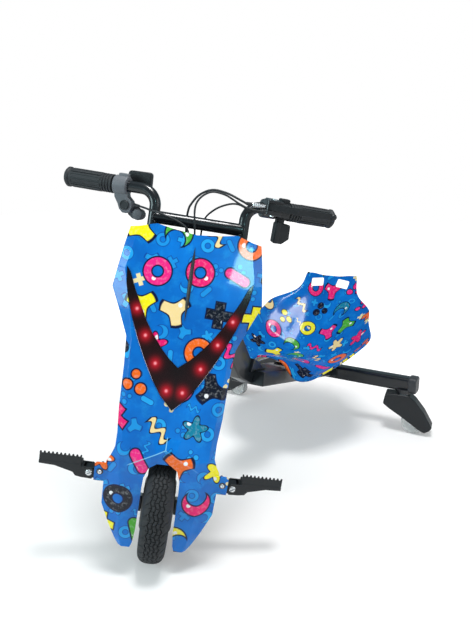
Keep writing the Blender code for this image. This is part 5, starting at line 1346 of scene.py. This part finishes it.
for side, word in SIDES:
    grip_line, end = framed(bar_frame(side)), BAR_LENGTH
    profile = [(BAR_R + GAP, GRIP_FROM), (GRIP_R - 0.0005, GRIP_FROM), (GRIP_R, GRIP_FROM + 0.0005),
               (GRIP_R, GRIP_FROM + 0.0028)]
    for k in range(3):
        x = GRIP_FROM + 0.004 + 0.006 * k
        profile += [(GRIP_CORE, x), (GRIP_CORE, x + 0.002), (GRIP_R - 0.0004, x + 0.0028),
                    (GRIP_R, x + 0.0033), (GRIP_R, x + 0.0046), (GRIP_R - 0.0004, x + 0.005)]
    profile += [(GRIP_CORE + 0.0008, x + 0.006), (GRIP_CORE + 0.0008, end - 0.0062), (GRIP_R, end - 0.005),
                (FLANGE_R - 0.0005, end - 0.0038), (FLANGE_R, end - 0.003), (FLANGE_R, end + 0.0004),
                (FLANGE_R - 0.0008, end + 0.0014), (0.0165, end + 0.004), (0.0, end + 0.004),
                (0.0, end + GAP), (BAR_R + GAP, end + GAP)]
    assemble(f"rubber_grip_{word}", turned(profile, grip_line), black_rubber, f"grip_{word}")
    oval_from, long = x + 0.0075, end - x - 0.0155
    outer = rectangle((-0.0047, 0.0047), (0.0, long))
    inner = rectangle((-0.0026, 0.0026), (0.003, long - 0.003))
    ring = cut(prism(rounded_outline(outer, 0.0044, 6), -0.0006, 0.0014, edge=0.0004),
               prism(rounded_outline(inner, 0.0024, 6), 0.0007, 0.003, edge=0.0))
    ovals = ring_of(grip_line, GRIP_OVALS, (0.0, GRIP_CORE + 0.0006, oval_from), side)
    studded(f"grip_ovals_{word}", ring, ovals, black_rubber)


# Thumb throttle on the rider's right: a moulded clamp with a round boss, a sprung lever with a ribbed
# thumb pad, and a rounded display box on top.

THROTTLE_PIVOT, THUMB_PAD = (0.0227, 0.0, -0.0363), (-0.0054, 0.0, -0.0512)
right_bar, left_bar = bar_frame(-1), bar_frame(1)
right_turn, left_turn = framed(right_bar), framed(left_bar)


def split_painted_sheen(axis, limit, over, under):
    """A mapping that gives a piece on the right bar two strengths of the painted sheen, split across the
    bar's frame.
    """
    return lambda point: Vector((0.0, 0.0, over if (right_bar.inverted() @ point)[axis] > limit else under))


arm = [(0.049, -0.008), (0.0465, -0.0234), (0.0385, -0.0358), (0.0346, -0.0451), (0.0275, -0.0518),
       (0.0189, -0.0523), (0.0109, -0.048), (0.0075, -0.038), (0.01, -0.028), (0.019, -0.02),
       (0.022, -0.008)]
pivot_line = framed(right_bar, THROTTLE_PIVOT, "X")
housing = fused(rod(0.019, 0.0215, 0.05, right_turn, edge=0.0025),
                block((0.0225, 0.043), 0.006, (0.015, 0.0235), right_bar, 0.0025, 3),
                prism(rounded_outline(arm, 0.003, 4), -0.01, 0.008, right_bar, edge=0.002, steps=3),
                block((0.0058, 0.012), (-0.0048, 0.0012), (-0.0373, -0.0313), right_bar, 0.0008))
housing = cut(housing, rod(BAR_R + GAP, 0.0, 0.08, right_turn), rod(0.0034, -0.02, 0.02, pivot_line, 24))
# Painted sheen over the housing, lighter on its upper part than below, where the light falls from above
assemble("throttle_clamp", housing, black_plastic, "throttle_housing",
         mapped=split_painted_sheen(2, -0.016, 0.95, 0.86))
lever_arm = rounded_outline([(0.032, -0.029), (0.0255, -0.05), (0.0225, -0.056), (0.012, -0.063),
                             (0.0, -0.0625), (-0.011, -0.046), (0.018, -0.027)], 0.006, 6)
pad_line = framed(right_bar, THUMB_PAD, "X")
lever = fused(turned([(0.0, 0.0109), (0.0062, 0.0109), (0.0068, 0.0103), (0.0095, 0.0103), (0.0095, 0.0128),
                      (0.0088, 0.0135), (0.0075, 0.0135), (0.007, 0.0126), (0.0, 0.0126)], pivot_line),
              rod(0.003, -0.01, 0.0112, pivot_line, 24),
              prism(lever_arm, 0.0083, 0.013, right_bar, edge=0.0016, steps=3),
              rod(0.01, -0.0115, 0.011, pad_line, edge=0.002))
# Painted sheen on the lever's arm and thumb pad; the end at the pivot stays near black
assemble("thumb_lever", lever, black_plastic, "throttle_lever", "throttle",
         mapped=split_painted_sheen(0, 0.0125, 0.05, 0.6))
pad_rib = block(0.0007, (0.0, 0.0012), (-0.0098, 0.0093), edge=0.0004)
# Painted sheen on the pad's ribs, about half way to grey
studded("thumb_pad_ribs", pad_rib, ring_of(pad_line, 20, (0.0, 0.0096, 0.0), -1), black_plastic,
        body="throttle", mapped=painted_sheen(0.55))
display = prism(rounded_outline([(-0.015, -0.002), (0.035, -0.002), (0.035, 0.03), (-0.015, 0.031)],
                                0.0075, 7), 0.0193, 0.033, right_bar, edge=0.003, steps=4)
assemble("display_case", display, black_plastic, "display_box")


# Brake on the rider's left: a die-cast perch clamped on the tube, a zinc barrel adjuster where the
# cable enters, and a moulded lever with a ball end on a screwed pin.

LEVER_PIVOT = (0.006, -0.028, 0.0)
LEVER_LOW, LEVER_HIGH, BALL_R = 0.0005, 0.014, 0.0072
pin_line = left_bar @ shift(LEVER_PIVOT)
barrel_line = framed(left_bar, (0.0, -0.025, 0.005))
perch = fused(rod(0.0185, -0.007, 0.0245, left_turn, edge=0.0025),
              prism(rounded_outline([(-0.011, -0.037), (0.023, -0.037), (0.023, -0.01), (-0.011, -0.01)],
                                    0.006, 6), -0.009, 0.0205, left_bar, "XY", 0.0018, 3),
              block((0.001, 0.023), (-0.014, 0.008), (0.012, 0.0215), left_bar, 0.0022, 3))
perch = cut(perch, rod(BAR_R + GAP, -0.05, 0.08, left_turn),
            block((-0.0078, 0.03), (-0.05, -0.0197), (LEVER_LOW - 0.0005, LEVER_HIGH + 0.0005), left_bar,
                  0.0),
            rod(0.0034, -0.03, 0.03, pin_line, 24), rod(0.0029, -0.03, -0.005, barrel_line, 24))
assemble("lever_perch", perch, black_steel, "brake_perch")
knurl = [(0.005, -0.0375 + 0.00145 * k + d) if d else (0.0044, -0.0375 + 0.00145 * k) for k in range(10)
         for d in (0.0, 0.0004, 0.001)]
barrel = turned([(0.0013, -0.039), (0.004, -0.039)] + knurl + [(0.0044, -0.023), (0.004, -0.022),
                (0.004, -0.0113), (0.0026, -0.0113), (0.0026, -0.0082), (0.0013, -0.0082)], barrel_line)
assemble("cable_adjuster", barrel, zinc_steel, "barrel_adjuster")
blade = rounded_outline([(-0.0065, -0.034), (-0.006, -0.024), (0.0, -0.021), (0.011, -0.021),
                         (0.02, -0.025), (0.032, -0.034), (0.05, -0.0395), (0.1285, -0.042),
                         (0.1305, -0.049), (0.05, -0.049), (0.01, -0.0385)],
                        [0.002, 0.002, 0.002, 0.004, 0.006, 0.01, 0.01, 0.001, 0.001, 0.02, 0.015], 6)
lever = fused(prism(blade, LEVER_LOW, LEVER_HIGH, left_bar, "XY", 0.0022, 4),
              turned([(BALL_R * sin(pi * k / 16), -BALL_R * cos(pi * k / 16))
                      for k in range(17)], left_bar @ shift((0.132, -0.046, 0.0075)), 32))
lever = cut(lever, rod(0.0034, -0.02, 0.03, pin_line, 24))
assemble("ball_lever", lever, black_plastic, "brake_lever", "brake")
pin = fused(rod(0.003, -0.01, 0.0212, pin_line, 24), rod(0.0052, 0.0208, 0.0232, pin_line, 24),
            rod(0.0045, -0.0118, -0.0093, pin_line, 6))
pin = cut(pin, rod(0.0022, 0.022, 0.024, pin_line, 6, edge=0.0001))
assemble("lever_pin", pin, zinc_steel, "brake_lever_pin")


# Switch pod: a moulded case hung from its own clamp ring beside the left grip, with a rocker that
# faces the rider.

ROCKER_AT = (0.0465, 0.0065, -0.043)
case_side = rounded_outline([(0.03, -0.065), (0.0485, -0.066), (0.0635, -0.054), (0.061, -0.025),
                             (0.029, -0.023)], 0.004, 6)
rocker_line = framed(left_bar, ROCKER_AT)
pod = fused(rod(0.018, 0.0258, 0.0525, left_turn, edge=0.0025),
            block((0.03, 0.047), 0.006, (-0.03, -0.0125), left_bar, 0.0015),
            prism(case_side, -0.009, 0.009, left_bar, edge=0.002, steps=3),
            block((0.027, 0.038), (-0.015, -0.007), (-0.065, -0.021), left_bar, 0.0025, 3),
            block((0.03, 0.051), 0.008, (0.014, 0.025), left_bar, 0.003, 3))
pod = cut(pod, rod(BAR_R + GAP, 0.0, 0.08, left_turn),
          block((0.0372, 0.0558), (0.003, 0.012), (-0.057, -0.029), left_bar, 0.0),
          rod(0.0019, -0.0115, 0.0115, rocker_line, 24))
assemble("pod_case", pod, black_plastic, "switch_pod")
rocker_side = [(0.0055, -0.0555), (0.0085, -0.0555), (0.0098, -0.043), (0.012, -0.0305), (0.009, -0.0305),
               (0.0055, -0.038), (0.005, -0.043), (0.0052, -0.048)]
rocker = fused(prism(rocker_side, 0.0377, 0.0553, left_bar, "YZ", 0.0006),
               rod(0.0016, -0.0108, 0.0108, rocker_line, 24))
assemble("rocker_key", rocker, black_plastic, "switch_rocker", "rocker")


# Cables: four black jacketed cables that leave the controls in short rubber boots, arc over the
# crossbar and go down into the fairing's open top. Their routes are the solids' own.

CABLES = {
    "throttle_cable": (0.002, [
        (-0.1299, 0.1837, 0.6462), (-0.1215, 0.1808, 0.6462), (-0.106, 0.164, 0.646), (-0.094, 0.148, 0.6454),
        (-0.0798, 0.138, 0.6451), (-0.0659, 0.133, 0.6421), (-0.046, 0.131, 0.637), (-0.0297, 0.129, 0.6303),
        (-0.018, 0.127, 0.62), (-0.014, 0.126, 0.595)]),
    "brake_cable": (0.0022, [
        (0.0953, 0.1481, 0.6865), (0.0864, 0.1452, 0.687), (0.074, 0.145, 0.6912), (0.051, 0.152, 0.6987),
        (0.0311, 0.158, 0.7018), (0.0177, 0.161, 0.7013), (0.0049, 0.165, 0.696), (-0.009, 0.171, 0.6846),
        (-0.0201, 0.1775, 0.6667), (-0.0241, 0.181, 0.6539), (-0.0246, 0.181, 0.6301),
        (-0.0206, 0.176, 0.595)]),
    "signal_wire": (0.0019, [
        (0.124, 0.1512, 0.6778), (0.096, 0.143, 0.6775), (0.0722, 0.142, 0.6845), (0.0571, 0.138, 0.6915),
        (0.0404, 0.135, 0.6979), (0.017, 0.131, 0.6995), (-0.0004, 0.129, 0.6892), (-0.0096, 0.128, 0.6745),
        (-0.0108, 0.128, 0.6573), (-0.0068, 0.128, 0.6312), (-0.002, 0.126, 0.595)]),
    "brake_switch_wire": (0.0019, [
        (0.1213, 0.1577, 0.6753), (0.0965, 0.15, 0.6735), (0.0767, 0.155, 0.681), (0.0647, 0.159, 0.682),
        (0.0515, 0.164, 0.6785), (0.0333, 0.171, 0.6685), (0.0195, 0.178, 0.6555), (0.0113, 0.1803, 0.6439),
        (0.0079, 0.1803, 0.6274), (0.0077, 0.176, 0.595)]),
}
BOOT_LENGTH = 0.012


def smooth_route(points, spacing):
    """Points every spacing on a Catmull-Rom curve through the route's own points, and its length."""
    ends = [2 * points[0] - points[1]] + points + [2 * points[-1] - points[-2]]
    fine = []
    for k in range(len(points) - 1):
        p0, p1, p2, p3 = ends[k:k + 4]
        for i in range(16):
            t = i / 16
            fine.append(0.5 * (2 * p1 + (p2 - p0) * t + (2 * p0 - 5 * p1 + 4 * p2 - p3) * t ** 2
                               + (3 * p1 - 3 * p2 + p3 - p0) * t ** 3))
    fine.append(points[-1])
    total = sum((b - a).length for a, b in zip(fine, fine[1:]))
    count = max(4, round(total / spacing))
    kept, walked = [fine[0]], 0.0
    for a, b in zip(fine, fine[1:]):
        run = (b - a).length
        while walked + run >= total / count * len(kept) and len(kept) < count:
            kept.append(a.lerp(b, (total / count * len(kept) - walked) / run))
        walked += run
    return kept + [fine[-1]], total


for name, (radius, corners) in CABLES.items():
    route, length = smooth_route([STEERED @ Vector(p) for p in corners], 0.006)
    curve = bpy.data.curves.new(name, "CURVE")
    curve.dimensions = "3D"
    curve.bevel_depth = radius
    curve.bevel_resolution = 6
    curve.use_fill_caps = True
    spline = curve.splines.new("POLY")
    spline.points.add(len(route) - 1)
    for target, point in zip(spline.points, route):
        target.co = (*point, 1.0)
    spline.use_smooth = True
    cable = link(f"{name}_jacket", curve)
    curve.materials.append(black_rubber)
    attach(cable, "steering")
    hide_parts(name)
    start = [route[0].lerp(route[2], k / 6 * BOOT_LENGTH / (route[2] - route[0]).length) for k in range(7)]
    boot = swept(start, [radius * f for f in (1.9, 1.85, 1.7, 1.72, 1.5, 1.5, 1.15)], 24)
    boot_piece = assemble(f"{name}_boot", boot, black_rubber, at=HOME)
    2 * radius
